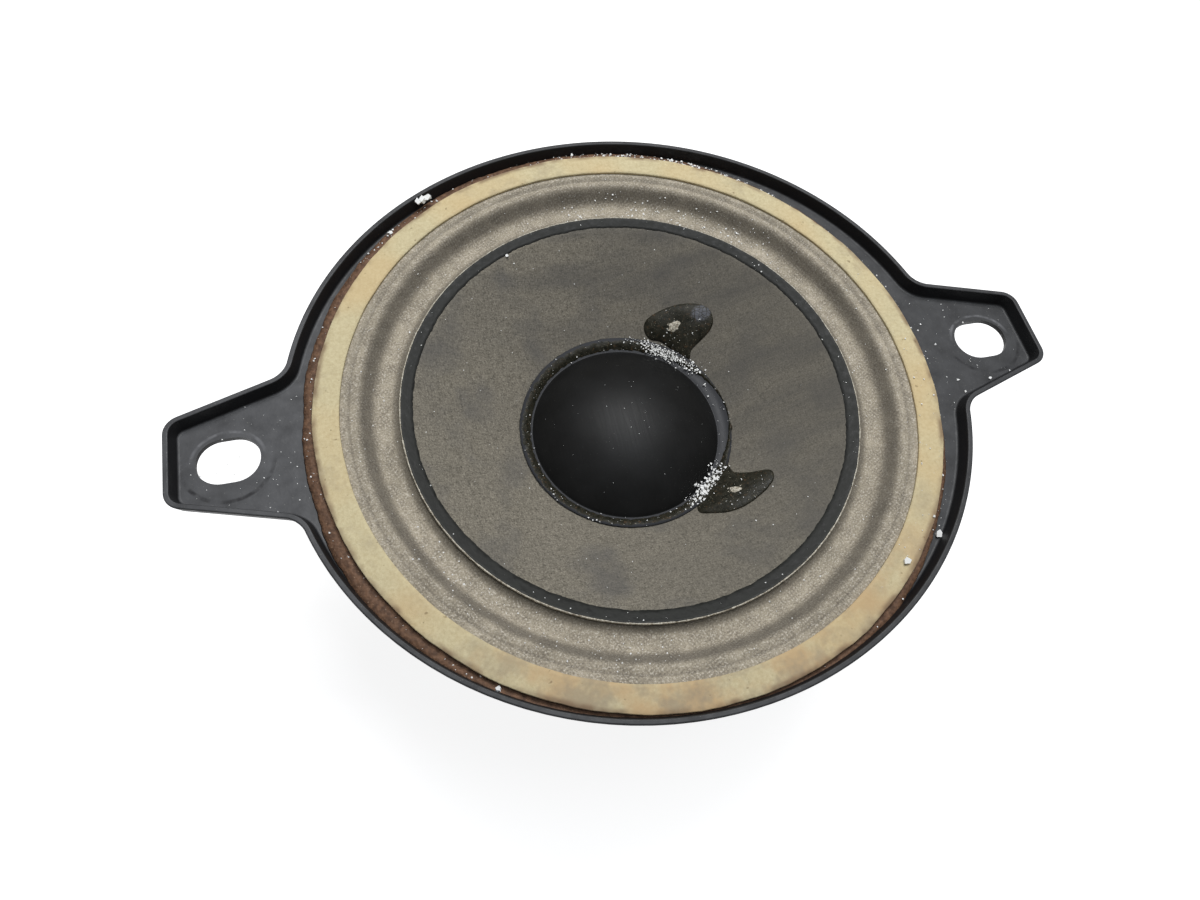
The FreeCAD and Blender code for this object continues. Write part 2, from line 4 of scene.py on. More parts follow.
import bpy
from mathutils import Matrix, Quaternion, Vector, noise
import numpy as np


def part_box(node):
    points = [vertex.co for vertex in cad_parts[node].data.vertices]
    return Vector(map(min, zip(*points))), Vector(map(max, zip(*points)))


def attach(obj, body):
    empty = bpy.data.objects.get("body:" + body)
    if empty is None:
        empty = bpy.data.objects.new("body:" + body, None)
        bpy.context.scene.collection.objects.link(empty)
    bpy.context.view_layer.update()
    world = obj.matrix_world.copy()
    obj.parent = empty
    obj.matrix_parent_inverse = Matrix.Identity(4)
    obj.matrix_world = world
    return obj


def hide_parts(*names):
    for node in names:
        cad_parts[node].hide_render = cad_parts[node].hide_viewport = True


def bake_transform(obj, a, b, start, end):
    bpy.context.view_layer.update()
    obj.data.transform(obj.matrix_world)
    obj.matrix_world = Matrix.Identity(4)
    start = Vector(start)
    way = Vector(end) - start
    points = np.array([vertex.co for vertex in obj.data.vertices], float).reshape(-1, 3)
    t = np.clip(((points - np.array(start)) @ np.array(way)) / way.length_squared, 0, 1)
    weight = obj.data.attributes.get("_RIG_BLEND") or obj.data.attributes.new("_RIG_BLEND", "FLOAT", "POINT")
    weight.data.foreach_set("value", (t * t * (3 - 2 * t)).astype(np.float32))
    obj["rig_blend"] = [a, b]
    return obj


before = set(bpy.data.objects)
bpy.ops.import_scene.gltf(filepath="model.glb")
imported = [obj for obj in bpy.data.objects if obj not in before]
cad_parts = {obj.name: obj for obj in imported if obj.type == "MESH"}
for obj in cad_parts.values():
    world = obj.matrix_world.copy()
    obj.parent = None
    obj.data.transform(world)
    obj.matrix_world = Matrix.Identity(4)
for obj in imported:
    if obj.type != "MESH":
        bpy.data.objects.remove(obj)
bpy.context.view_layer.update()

MM = 0.001

# ---- sizes read from the frame, in millimetres ----


def corner(node, high, axis):
    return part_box(node)[1 if high else 0][axis] / MM


GASKET_OUT = corner("gasket_ring", True, 0)
GASKET_LOW = corner("gasket_ring", False, 2)
GASKET_TOP = corner("gasket_ring", True, 2)
LIP_OUT = corner("surround", True, 0)
CONE_OUT = corner("cone", True, 0)
CONE_TOP = corner("cone", True, 2)
GLUE_TOP = corner("cone_edge_glue", True, 2)
CAP_OUT = corner("dust_cap", True, 0)
CAP_TOP = corner("dust_cap", True, 2)
CAP_GLUE_OUT = corner("dust_cap_glue", True, 0)
FORMER_OUT = corner("voice_coil_former", True, 0)
SPIDER_OUT = corner("spider", True, 0)
SHELF = corner("terminal_board", False, 2)
FLOOR = corner("back_plate", False, 2)
RIM_TOP = corner("basket", True, 2)
FLANGE_FAR = corner("basket", True, 1)
FLANGE_NEAR = corner("basket", False, 1)
SLOT_X = 55.0
PRESS_RADIUS = 5.9
GLEAM_RADIUS = 4.7
TAB_Y = (corner("terminal_tab_positive", True, 1) + corner("terminal_tab_positive", False, 1)) / 2

# ---- sizes of the soft parts, in millimetres ----
GASKET_WIDTH = 3.45
GASKET_IN = GASKET_OUT - GASKET_WIDTH
LIP_Z = GASKET_LOW
CLOTH = 0.35
LIP_END = 40.0
CEMENT_OUT = 44.75
CREASE = LIP_END - 0.66
CLOTH_IN = CONE_OUT + 0.2
WAVE_WIDTH = CREASE - CLOTH_IN
WALL_FOOT = 37.15
CLOTH_FOOT = 33.0
# The cloth's front from the gasket to the cone: (radius, height, slope).
WAVE = (
    (LIP_END, LIP_Z, 0.0),
    (CREASE, LIP_Z - 0.28, 0.0),
    (CLOTH_IN + 0.87 * WAVE_WIDTH, LIP_Z - 0.16, 0.0),
    (CLOTH_IN + 0.66 * WAVE_WIDTH, LIP_Z - 1.4, 1.3),
    (CLOTH_IN + 0.355 * WAVE_WIDTH, LIP_Z - 2.75, 0.0),
    (CLOTH_IN, CONE_TOP - 0.6, -0.75),
)
CONE_SLOPE = math.tan(math.radians(31.5))
RIM_SLOPE = math.tan(math.radians(20.0))
RIM_BAND = 1.85
RIM_IN = CONE_OUT - RIM_BAND
PAPER = 0.5
BEAD_HEIGHT = 0.42
PETAL_HEIGHT = 0.85
FLANGE_SHIFT_X = 0.35
FLANGE_HALF_X = 48.35
WALL_INSET = 0.95
LEAD_RADIUS = 0.4
SPIDER_WAVES = 3

# ---- camera ----
CAMERA_PLACE = Vector((-26.84, -54.86, 102.31)) * MM
CAMERA_AIM = Vector((-6.84, -7.60, 0.0)) * MM
CAMERA_ROLL = math.radians(10.92)
CAMERA_LENS = 25.14


def make_camera():
    data = bpy.data.cameras.new("camera")
    data.lens = CAMERA_LENS
    data.sensor_width = 36.0
    data.clip_start = 0.005
    data.clip_end = 20.0
    camera = bpy.data.objects.new("camera", data)
    bpy.context.scene.collection.objects.link(camera)
    look = (CAMERA_AIM - CAMERA_PLACE).to_track_quat("-Z", "Y")
    camera.rotation_mode = "QUATERNION"
    camera.rotation_quaternion = look @ Quaternion((0, 0, 1), CAMERA_ROLL)
    camera.location = CAMERA_PLACE
    bpy.context.scene.camera = camera


# ---- light ----

WORLD_COLOUR = (0.93, 0.96, 1.0, 1)
WORLD_STRENGTH = 0.16
KEY_PLACE = (0.06, 0.18, 0.39)
KEY_SIZE = (0.34, 0.16)
KEY_POWER = 1.55
OVERHEAD_PLACE = (0.05, 0.02, 0.44)
OVERHEAD_SIZE = (0.24, 0.14)
OVERHEAD_POWER = 0.5
OVERHEAD_COLOUR = (0.88, 0.94, 1.0)


def area_light(name, place, aim, size, power, colour=(1, 1, 1)):
    data = bpy.data.lights.new(name, "AREA")
    data.shape = "RECTANGLE"
    data.size, data.size_y = size
    data.energy = power
    data.color = colour
    light = bpy.data.objects.new(name, data)
    bpy.context.scene.collection.objects.link(light)
    light.location = Vector(place)
    light.rotation_mode = "QUATERNION"
    light.rotation_quaternion = (Vector(aim) - Vector(place)).to_track_quat("-Z", "Y")


def make_light():
    world = bpy.data.worlds.new("studio")
    world.use_nodes = True
    world.node_tree.nodes["Background"].inputs["Color"].default_value = WORLD_COLOUR
    world.node_tree.nodes["Background"].inputs["Strength"].default_value = WORLD_STRENGTH
    bpy.context.scene.world = world
    bpy.context.scene.view_settings.view_transform = "Standard"
    area_light("key", KEY_PLACE, (0, 0, 0), KEY_SIZE, KEY_POWER)
    area_light("overhead", OVERHEAD_PLACE, (0, 0, 0), OVERHEAD_SIZE, OVERHEAD_POWER, OVERHEAD_COLOUR)


# ---- node graphs ----


class Graph:
    """A material whose nodes are built by short calls."""

    def __init__(self, name, roughness=0.5, metallic=0.0, **constants):
        self.material = bpy.data.materials.new(name)
        self.material.use_nodes = True
        self.tree = self.material.node_tree
        self.shader = self.tree.nodes["Principled BSDF"]
        self.shader.inputs["Roughness"].default_value = roughness
        self.shader.inputs["Metallic"].default_value = metallic
        for key, value in constants.items():
            self.shader.inputs[key.replace("_", " ")].default_value = value
        coordinates = self.tree.nodes.new("ShaderNodeTexCoord")
        scale = self.tree.nodes.new("ShaderNodeVectorMath")
        scale.operation = "SCALE"
        scale.inputs["Scale"].default_value = 1 / MM
        self.tree.links.new(coordinates.outputs["Object"], scale.inputs[0])
        self.mm = scale.outputs[0]

    def put(self, socket, value):
        if hasattr(value, "is_output"):
            self.tree.links.new(value, socket)
        else:
            socket.default_value = value

    def node(self, kind, inputs, output=0, **settings):
        made = self.tree.nodes.new(kind)
        for key, value in settings.items():
            setattr(made, key, value)
        for key, value in inputs.items():
            self.put(made.inputs[key], value)
        return made.outputs[output]

    def math(self, operation, a, b=0.0, clamp=False):
        return self.node("ShaderNodeMath", {0: a, 1: b}, operation=operation, use_clamp=clamp)

    def stretch(self, x, y, z, turn=0.0):
        """The millimetre coordinates, turned about Z and then scaled."""
        return self.node(
            "ShaderNodeMapping",
            {"Vector": self.mm, "Rotation": (0, 0, math.radians(turn)), "Scale": (x, y, z)},
        )

    def noise(self, scale, detail=3.0, rough=0.5, vector=None, warp=0.0):
        return self.node(
            "ShaderNodeTexNoise",
            {
                "Vector": vector or self.mm,
                "Scale": scale,
                "Detail": detail,
                "Roughness": rough,
                "Distortion": warp,
            },
        )

    def cells(self, scale, vector=None, feature="F1"):
        return self.node(
            "ShaderNodeTexVoronoi", {"Vector": vector or self.mm, "Scale": scale}, feature=feature
        )

    def ramp(self, factor, *stops):
        """A ramp of (place, value) stops; a value is a grey number or a colour."""
        made = self.tree.nodes.new("ShaderNodeValToRGB")
        elements = made.color_ramp.elements
        while len(elements) < len(stops):
            elements.new(0.5)
        for element, (place, value) in zip(elements, stops):
            element.position = place
            grey = isinstance(value, (int, float))
            element.color = (value, value, value, 1) if grey else (*value, 1)
        self.put(made.inputs[0], factor)
        return made.outputs[0]

    def mix(self, factor, a, b, blend="MIX"):
        def colour(value):
            return (*value, 1) if isinstance(value, tuple) else value

        return self.node(
            "ShaderNodeMix",
            {0: factor, 6: colour(a), 7: colour(b)},
            output=2,
            data_type="RGBA",
            blend_type=blend,
        )

    def radius(self, x=0.0, y=0.0, widen=1.0):
        """Distance in millimetres from a line parallel to Z."""
        moved = self.node("ShaderNodeVectorMath", {0: self.mm, 1: (-x, -y, 0)}, operation="ADD")
        flat = self.node("ShaderNodeVectorMath", {0: moved, 1: (1, widen, 0)}, operation="MULTIPLY")
        return self.node("ShaderNodeVectorMath", {0: flat}, output=1, operation="LENGTH")

    def band(self, value, middle, half, soft):
        """1 within half of the middle, falling to 0 over soft."""
        away = self.math("ABSOLUTE", self.math("SUBTRACT", value, middle))
        return self.node(
            "ShaderNodeMapRange",
            {"Value": away, "From Min": half, "From Max": half + soft, "To Min": 1.0, "To Max": 0.0},
            interpolation_type="SMOOTHSTEP",
        )

    def facing_up(self):
        """How far the surface's own normal points along +Z, 0 to 1."""
        geometry = self.tree.nodes.new("ShaderNodeNewGeometry")
        split = self.node("ShaderNodeSeparateXYZ", {0: geometry.outputs["Normal"]}, output=2)
        return self.math("MAXIMUM", split, 0.0)

    def bump(self, height, distance_mm, strength=1.0, under=None):
        inputs = {"Height": height, "Distance": distance_mm * MM, "Strength": strength}
        if under is not None:
            inputs["Normal"] = under
        return self.node("ShaderNodeBump", inputs)

    def finish(self, colour=None, normal=None, roughness=None):
        if colour is not None:
            self.put(self.shader.inputs["Base Color"], colour)
        if normal is not None:
            self.put(self.shader.inputs["Normal"], normal)
        if roughness is not None:
            self.put(self.shader.inputs["Roughness"], roughness)
        return self.material


# ---- materials ----


def weave(g, pitch, turn):
    """Height of a plain weave: two crossing sets of threads."""
    k = 2 * math.pi / pitch
    across = g.stretch(k, k, k, turn)
    x = g.node("ShaderNodeSeparateXYZ", {0: across}, output=0)
    y = g.node("ShaderNodeSeparateXYZ", {0: across}, output=1)
    return g.math("MULTIPLY", g.math("SINE", x), g.math("SINE", y))


def black_paint():
    g = Graph("black_paint", 0.42, Specular_IOR_Level=0.4)
    up = g.facing_up()
    cloud = g.noise(0.35, 4.0)
    # Lighter on up-facing faces: partly dust, partly painted sheen standing in for the key light's
    # reflection on the flat tops.
    dust_and_sheen = g.math("MULTIPLY", g.ramp(cloud, (0.3, 0.35), (0.75, 1.0)), g.ramp(up, (0.5, 0.0), (0.98, 1.0)))
    colour = g.mix(dust_and_sheen, (0.008, 0.008, 0.009), (0.052, 0.053, 0.056))
    # Lighter towards the left (-X) ear, where the up-facing mask is: painted light standing in for brighter
    # light on that side.
    side = g.node("ShaderNodeSeparateXYZ", {0: g.mm}, output=0)
    left_painted_light = g.math("MULTIPLY", g.ramp(g.math("MULTIPLY", side, -1 / 60.0), (0.6, 0.0), (0.75, 0.8)), dust_and_sheen)
    colour = g.mix(left_painted_light, colour, (0.082, 0.083, 0.088))
    scratches = g.noise(1.0, 5.0, 0.7, g.stretch(0.35, 7.0, 1.0, 28.0), 0.4)
    colour = g.mix(g.ramp(scratches, (0.66, 0.0), (0.74, 0.3)), colour, (0.09, 0.09, 0.095))
    split = g.node("ShaderNodeSeparateXYZ", {0: g.mm}, output=1)
    lower = g.ramp(g.math("ADD", g.math("MULTIPLY", split, -0.12), 0.5), (0.5, 0.0), (0.85, 1.0))
    upper = g.ramp(g.math("ADD", g.math("MULTIPLY", split, 0.12), 0.5), (0.5, 0.0), (0.85, 1.0))
    patchy = g.ramp(g.noise(0.6), (0.4, 0.1), (0.6, 1.0))
    for x in (-SLOT_X, SLOT_X):
        # Dark arc on the lower side of the washer's pressed ring: painted shade in the groove.
        arc = g.band(g.radius(x), PRESS_RADIUS, 0.10, 0.30)
        press_ring_shade = g.math("MULTIPLY", arc, g.math("MULTIPLY", lower, patchy))
        colour = g.mix(press_ring_shade, colour, (0.008, 0.008, 0.010))
        arc = g.band(g.radius(x, 0.0, 1.12), GLEAM_RADIUS, 0.08, 0.25)
        gleam = g.math("MULTIPLY", arc, g.math("MULTIPLY", upper, patchy))
        colour = g.mix(gleam, colour, (0.16, 0.16, 0.17))
    specks = g.ramp(g.noise(3.6, 2.0), (0.68, 0.0), (0.74, 0.55))
    specks = g.math("MULTIPLY", specks, g.ramp(up, (0.7, 0.0), (0.98, 1.0)))
    colour = g.mix(specks, colour, (0.20, 0.20, 0.18))
    peel = g.bump(g.noise(2.2, 3.0), 0.05, 0.35)
    rough = g.ramp(g.noise(0.8, 4.0), (0.3, 0.46), (0.7, 0.62))
    return g.finish(colour, peel, rough)


def gasket_card():
    g = Graph("gasket_card", 0.92, Specular_IOR_Level=0.2)
    fibres = g.noise(2.4, 6.0, 0.65)
    blotch = g.noise(0.16, 4.0, 0.6)
    warm = g.noise(0.07, 2.0)
    colour = g.mix(g.ramp(fibres, (0.3, 0.0), (0.72, 1.0)), (0.53, 0.445, 0.265), (0.68, 0.60, 0.385))
    colour = g.mix(g.ramp(warm, (0.47, 0.0), (0.66, 0.4)), colour, (0.64, 0.44, 0.21))
    colour = g.mix(g.ramp(blotch, (0.56, 0.0), (0.74, 0.5)), colour, (0.33, 0.27, 0.19))
    depth = g.node("ShaderNodeSeparateXYZ", {0: g.mm}, output=1)
    low = g.ramp(g.math("MULTIPLY", depth, -1 / 50.0), (0.35, 0.0), (0.8, 1.0))
    rust = g.math("MULTIPLY", g.ramp(g.noise(0.12, 4.0, 0.6), (0.42, 0.0), (0.56, 0.8)), low)
    colour = g.mix(rust, colour, (0.56, 0.38, 0.20))
    smudge = g.math("MULTIPLY", g.ramp(g.noise(0.20, 4.0, 0.65), (0.46, 0.15), (0.62, 0.75)), low)
    colour = g.mix(smudge, colour, (0.33, 0.27, 0.19))
    border = g.ramp(g.noise(0.3), (0.4, 0.0), (0.6, 0.8))
    border = g.math("MULTIPLY", g.band(g.radius(), GASKET_OUT, 0.15, 0.7), border)
    colour = g.mix(border, colour, (0.24, 0.16, 0.10))
    specks = g.ramp(g.noise(1.1, 2.0), (0.70, 0.0), (0.76, 0.55))
    colour = g.mix(specks, colour, (0.16, 0.10, 0.05))
    normal = g.bump(fibres, 0.10, 0.5)
    normal = g.bump(g.noise(0.5, 3.0), 0.25, 0.3, normal)
    return g.finish(colour, normal)


def cork_cement():
    g = Graph("cork_cement", 0.7, Specular_IOR_Level=0.35)
    grains = g.cells(2.6)
    tint = g.noise(1.4, 3.0)
    colour = g.mix(g.ramp(tint, (0.35, 0.0), (0.7, 1.0)), (0.085, 0.044, 0.025), (0.19, 0.102, 0.058))
    colour = g.mix(g.ramp(g.noise(3.1, 2.0), (0.66, 0.0), (0.72, 0.7)), colour, (0.30, 0.19, 0.12))
    return g.finish(colour, g.bump(grains, 0.12, 0.6))


def doped_cloth():
    g = Graph("doped_cloth", 0.78, Specular_IOR_Level=0.3, Sheen_Weight=0.15)
    threads = weave(g, 0.62, 17.0)
    wear = g.noise(0.22, 4.0, 0.6)
    fine = g.noise(3.0, 4.0, 0.6)
    colour = g.mix(g.ramp(wear, (0.3, 0.0), (0.72, 1.0)), (0.34, 0.298, 0.225), (0.49, 0.428, 0.328))
    colour = g.mix(g.ramp(fine, (0.35, 0.35), (0.7, 0.0)), colour, (0.22, 0.195, 0.155))
    height = g.math("MULTIPLY", threads, 0.5)
    cloth_wear_and_cone_shade = g.ramp(g.noise(0.5, 3.0), (0.35, 0.0), (0.65, 1.0))
    dots = g.math("MULTIPLY", g.ramp(height, (0.0, 0.6), (0.35, 0.0)), cloth_wear_and_cone_shade)
    colour = g.mix(dots, colour, (0.19, 0.165, 0.13))
    grain = g.noise(4.5, 2.0, 0.7)
    colour = g.mix(g.ramp(grain, (0.55, 0.0), (0.68, 0.7)), colour, (0.72, 0.67, 0.58))
    colour = g.mix(g.ramp(grain, (0.32, 0.7), (0.45, 0.0)), colour, (0.13, 0.11, 0.085))
    far = g.radius()
    # Dark band on the steep wall of the roll: painted shade for the wall's slope and the crease at its foot.
    wall_foot_shade = g.band(far, WALL_FOOT, 0.25, 1.1)
    colour = g.mix(g.math("MULTIPLY", wall_foot_shade, 0.6), colour, (0.055, 0.047, 0.037))
    # Thin dark line at the crease by the flat lip: painted shade where the cloth turns away from the light.
    edge = g.band(far, CREASE, 0.03, 0.3)
    colour = g.mix(g.math("MULTIPLY", edge, 0.3), colour, (0.06, 0.05, 0.04))
    # Dark band just outside the cone's edge: painted shade cast by the cone's raised edge onto the cloth.
    cone_edge_shade = g.band(far, CLOTH_FOOT, 0.35, 0.9)
    colour = g.mix(g.math("MULTIPLY", cone_edge_shade, 0.6), colour, (0.07, 0.06, 0.045))
    normal = g.bump(g.math("MULTIPLY", height, cloth_wear_and_cone_shade), 0.06, 0.4)
    normal = g.bump(g.noise(0.6, 2.0), 0.12, 0.3, normal)
    return g.finish(colour, normal)


def cone_paper():
    g = Graph("cone_paper", 0.86, Specular_IOR_Level=0.3)
    felt = g.noise(1.7, 6.0, 0.62, warp=0.6)
    hairs_a = g.noise(1.0, 4.0, 0.6, g.stretch(5.0, 0.7, 0.3, 25.0), 0.5)
    hairs_b = g.noise(1.0, 4.0, 0.6, g.stretch(0.7, 5.0, 0.3, -20.0), 0.5)
    hairs = g.math("MULTIPLY", g.math("ADD", hairs_a, hairs_b), 0.5)
    colour = g.mix(g.ramp(felt, (0.32, 0.0), (0.7, 1.0)), (0.13, 0.116, 0.090), (0.225, 0.202, 0.16))
    colour = g.mix(g.ramp(hairs, (0.44, 0.0), (0.62, 0.6)), colour, (0.25, 0.225, 0.18))
    colour = g.mix(g.ramp(hairs, (0.34, 0.55), (0.46, 0.0)), colour, (0.075, 0.068, 0.056))
    grain = g.noise(4.2, 3.0, 0.7)
    colour = g.mix(g.ramp(grain, (0.54, 0.0), (0.68, 0.75)), colour, (0.36, 0.33, 0.27))
    colour = g.mix(g.ramp(grain, (0.32, 0.8), (0.46, 0.0)), colour, (0.055, 0.05, 0.041))
    smoke = g.noise(0.11, 3.0, 0.5, warp=0.1)
    colour = g.mix(g.ramp(smoke, (0.5, 0.0), (0.68, 0.55)), colour, (0.095, 0.092, 0.09))
    smear = g.noise(1.0, 3.0, 0.55, g.stretch(0.035, 0.16, 0.0, 8.0), 0.05)
    across = g.node("ShaderNodeSeparateXYZ", {0: g.mm}, output=0)
    along = g.node("ShaderNodeSeparateXYZ", {0: g.mm}, output=1)
    place = g.math("ADD", g.math("MULTIPLY", across, 1 / 60.0), g.math("MULTIPLY", along, 1 / 50.0))
    upper_right = g.ramp(g.math("ADD", place, 0.4), (0.35, 0.1), (0.8, 0.65))
    smear = g.math("MULTIPLY", g.ramp(smear, (0.40, 0.0), (0.66, 1.0)), upper_right)
    colour = g.mix(smear, colour, (0.075, 0.073, 0.072))
    # Darker towards the right (+X) side of the cone: painted shade where the cone's slope faces away from
    # the light.
    cloth_wear_and_cone_shade = g.ramp(g.math("ADD", g.math("MULTIPLY", across, 1 / 66.0), 0.5), (0.3, 0.0), (0.9, 0.5))
    colour = g.mix(cloth_wear_and_cone_shade, colour, (0.10, 0.092, 0.078))
    normal = g.bump(felt, 0.10, 0.45)
    normal = g.bump(hairs, 0.08, 0.5, normal)
    return g.finish(colour, normal)


def edge_glue():
    g = Graph("edge_glue", 0.65, Specular_IOR_Level=0.25)
    tint = g.noise(1.2, 4.0)
    colour = g.mix(g.ramp(tint, (0.3, 0.0), (0.75, 1.0)), (0.013, 0.0135, 0.012), (0.030, 0.031, 0.028))
    normal = g.bump(g.noise(1.6, 4.0), 0.12, 0.5)
    return g.finish(colour, normal, g.ramp(tint, (0.3, 0.45), (0.7, 0.7)))


def satin_cap():
    g = Graph("satin_cap", 0.5, Specular_IOR_Level=0.22)
    haze = g.noise(0.25, 3.0)
    colour = g.mix(g.ramp(haze, (0.3, 0.0), (0.8, 1.0)), (0.0055, 0.0055, 0.0053), (0.010, 0.010, 0.010))
    dust = g.ramp(g.noise(4.5, 2.0), (0.71, 0.0), (0.76, 0.5))
    colour = g.mix(dust, colour, (0.08, 0.08, 0.07))
    skirt = g.band(g.radius(), CAP_OUT + 1.1, 0.95, 0.1)
    colour = g.mix(skirt, colour, (0.036, 0.037, 0.041))
    hairline = g.noise(1.0, 4.0, 0.7, g.stretch(4.0, 0.12, 1.0, 65.0), 0.2)
    rough = g.ramp(hairline, (0.35, 0.46), (0.7, 0.56))
    return g.finish(colour, g.bump(g.noise(0.35, 2.0), 0.2, 0.12), rough)


def bead_glue():
    g = Graph("bead_glue", 0.5, Specular_IOR_Level=0.22)
    lumps = g.noise(1.3, 5.0, 0.65)
    colour = g.mix(g.ramp(lumps, (0.35, 0.0), (0.7, 1.0)), (0.010, 0.010, 0.006), (0.030, 0.027, 0.017))
    rust = g.ramp(g.noise(1.9, 3.0), (0.60, 0.0), (0.70, 0.6))
    colour = g.mix(rust, colour, (0.085, 0.050, 0.025))
    grit = g.ramp(g.noise(5.5, 2.0), (0.68, 0.0), (0.72, 0.7))
    colour = g.mix(grit, colour, (0.38, 0.35, 0.26))
    skin = g.band(g.radius(15.7, 15.8, 1.25), 0.0, 1.2, 0.6)
    cracks = g.ramp(g.cells(1.5, feature="DISTANCE_TO_EDGE"), (0.02, 0.0), (0.08, 1.0))
    colour = g.mix(g.math("MULTIPLY", skin, cracks), colour, (0.085, 0.088, 0.10))
    normal = g.bump(lumps, 0.14, 0.6)
    normal = g.bump(g.noise(5.0, 3.0), 0.05, 0.5, normal)
    return g.finish(colour, normal, g.ramp(lumps, (0.3, 0.34), (0.7, 0.65)))


def pale_wire():
    g = Graph("pale_wire", 0.5, Specular_IOR_Level=0.5)
    tint = g.noise(3.5, 4.0)
    colour = g.mix(g.ramp(tint, (0.35, 0.0), (0.65, 1.0)), (0.24, 0.20, 0.14), (0.66, 0.62, 0.52))
    return g.finish(colour, g.bump(tint, 0.15, 0.8))


def white_dust():
    g = Graph("white_dust", 0.8, Specular_IOR_Level=0.4)
    tint = g.noise(0.9, 2.0)
    return g.finish(g.mix(tint, (0.72, 0.72, 0.68), (0.95, 0.95, 0.95)))


def spider_cloth():
    g = Graph("spider_cloth", 0.8, Specular_IOR_Level=0.3)
    threads = weave(g, 0.5, 8.0)
    tint = g.noise(0.3, 4.0)
    colour = g.mix(g.ramp(tint, (0.3, 0.0), (0.7, 1.0)), (0.42, 0.27, 0.09), (0.62, 0.43, 0.17))
    dots = g.ramp(g.math("MULTIPLY", threads, 0.5), (0.0, 0.5), (0.4, 0.0))
    colour = g.mix(dots, colour, (0.22, 0.13, 0.04))
    return g.finish(colour, g.bump(threads, 0.08, 0.6))


def zinc_steel():
    g = Graph("zinc_steel", 0.38, 1.0)
    cloud = g.noise(0.25, 4.0, warp=1.0)
    colour = g.mix(g.ramp(cloud, (0.3, 0.0), (0.7, 1.0)), (0.36, 0.335, 0.25), (0.48, 0.465, 0.41))
    lathe = g.noise(1.0, 3.0, 0.6, g.node("ShaderNodeCombineXYZ", {0: g.radius()}))
    spots = g.ramp(g.noise(0.9, 4.0), (0.66, 0.0), (0.74, 0.5))
    colour = g.mix(spots, colour, (0.25, 0.17, 0.09))
    rough = g.ramp(g.noise(0.6, 4.0), (0.3, 0.3), (0.7, 0.5))
    return g.finish(colour, g.bump(lathe, 0.03, 0.4), rough)


def ferrite():
    g = Graph("ferrite", 0.6, Specular_IOR_Level=0.5)
    grain = g.noise(2.5, 5.0)
    colour = g.mix(g.ramp(grain, (0.3, 0.0), (0.7, 1.0)), (0.030, 0.030, 0.032), (0.065, 0.065, 0.068))
    pits = g.ramp(g.cells(0.9), (0.05, 0.0), (0.16, 1.0))
    normal = g.bump(pits, 0.12, 0.35)
    return g.finish(colour, g.bump(grain, 0.05, 0.5, normal))


def phenolic():
    g = Graph("phenolic", 0.5, Specular_IOR_Level=0.5)
    fibre = g.noise(1.0, 4.0, 0.6, g.stretch(0.8, 5.0, 1.0))
    colour = g.mix(g.ramp(fibre, (0.3, 0.0), (0.7, 1.0)), (0.17, 0.07, 0.022), (0.33, 0.15, 0.05))
    return g.finish(colour, g.bump(fibre, 0.03, 0.5))


def plated(name, dark, light, roughness):
    g = Graph(name, roughness, 1.0)
    cloud = g.noise(1.2, 4.0)
    colour = g.mix(g.ramp(cloud, (0.3, 0.0), (0.7, 1.0)), dark, light)
    rough = g.ramp(g.noise(2.0, 3.0), (0.3, roughness - 0.08), (0.7, roughness + 0.1))
    return g.finish(colour, g.bump(g.noise(3.0, 3.0), 0.03, 0.4), rough)


def braid():
    g = Graph("tinsel_braid", 0.42, 0.85)
    strands = weave(g, 0.26, 40.0)
    colour = g.mix(g.ramp(strands, (0.2, 0.0), (0.6, 1.0)), (0.23, 0.12, 0.05), (0.72, 0.48, 0.26))
    return g.finish(colour, g.bump(strands, 0.08, 0.8))


def clear_glue():
    g = Graph("clear_glue", 0.25, Specular_IOR_Level=0.6)
    tint = g.noise(0.9, 3.0)
    colour = g.mix(tint, (0.16, 0.07, 0.015), (0.36, 0.19, 0.06))
    return g.finish(colour, g.bump(g.noise(0.8, 3.0), 0.2, 0.6))


def kraft():
    g = Graph("kraft_paper", 0.75)
    fibre = g.noise(1.5, 5.0, 0.6, g.stretch(1.0, 1.0, 0.3))
    return g.finish(g.mix(fibre, (0.26, 0.15, 0.07), (0.46, 0.31, 0.17)), g.bump(fibre, 0.05, 0.5))


def copper_turns():
    g = Graph("copper_turns", 0.32, 0.9)
    height = g.node("ShaderNodeSeparateXYZ", {0: g.mm}, output=2)
    turns = g.math("SINE", g.math("MULTIPLY", height, 2 * math.pi / 0.22))
    colour = g.mix(g.ramp(turns, (0.1, 0.0), (0.7, 1.0)), (0.25, 0.07, 0.03), (0.66, 0.27, 0.13))
    return g.finish(colour, g.bump(turns, 0.06, 0.8))


def pale_floor():
    g = Graph("pale_floor", 0.9, Specular_IOR_Level=0.1)
    tint = g.noise(0.01, 2.0)
    g.shader.inputs["Emission Color"].default_value = (1, 1, 1, 1)
    g.shader.inputs["Emission Strength"].default_value = 0.85
    return g.finish(g.mix(tint, (0.5, 0.5, 0.5), (0.54, 0.54, 0.54)))


# ---- mesh helpers ----


def make_object(name, points_mm, faces, material, smooth=True):
    mesh = bpy.data.meshes.new(name)
    mesh.from_pydata([tuple(c * MM for c in p) for p in points_mm], [], faces)
    mesh.materials.append(material)
    if smooth:
        mesh.polygons.foreach_set("use_smooth", [True] * len(mesh.polygons))
    mesh.update()
    made = bpy.data.objects.new(name, mesh)
    bpy.context.scene.collection.objects.link(made)
    return made


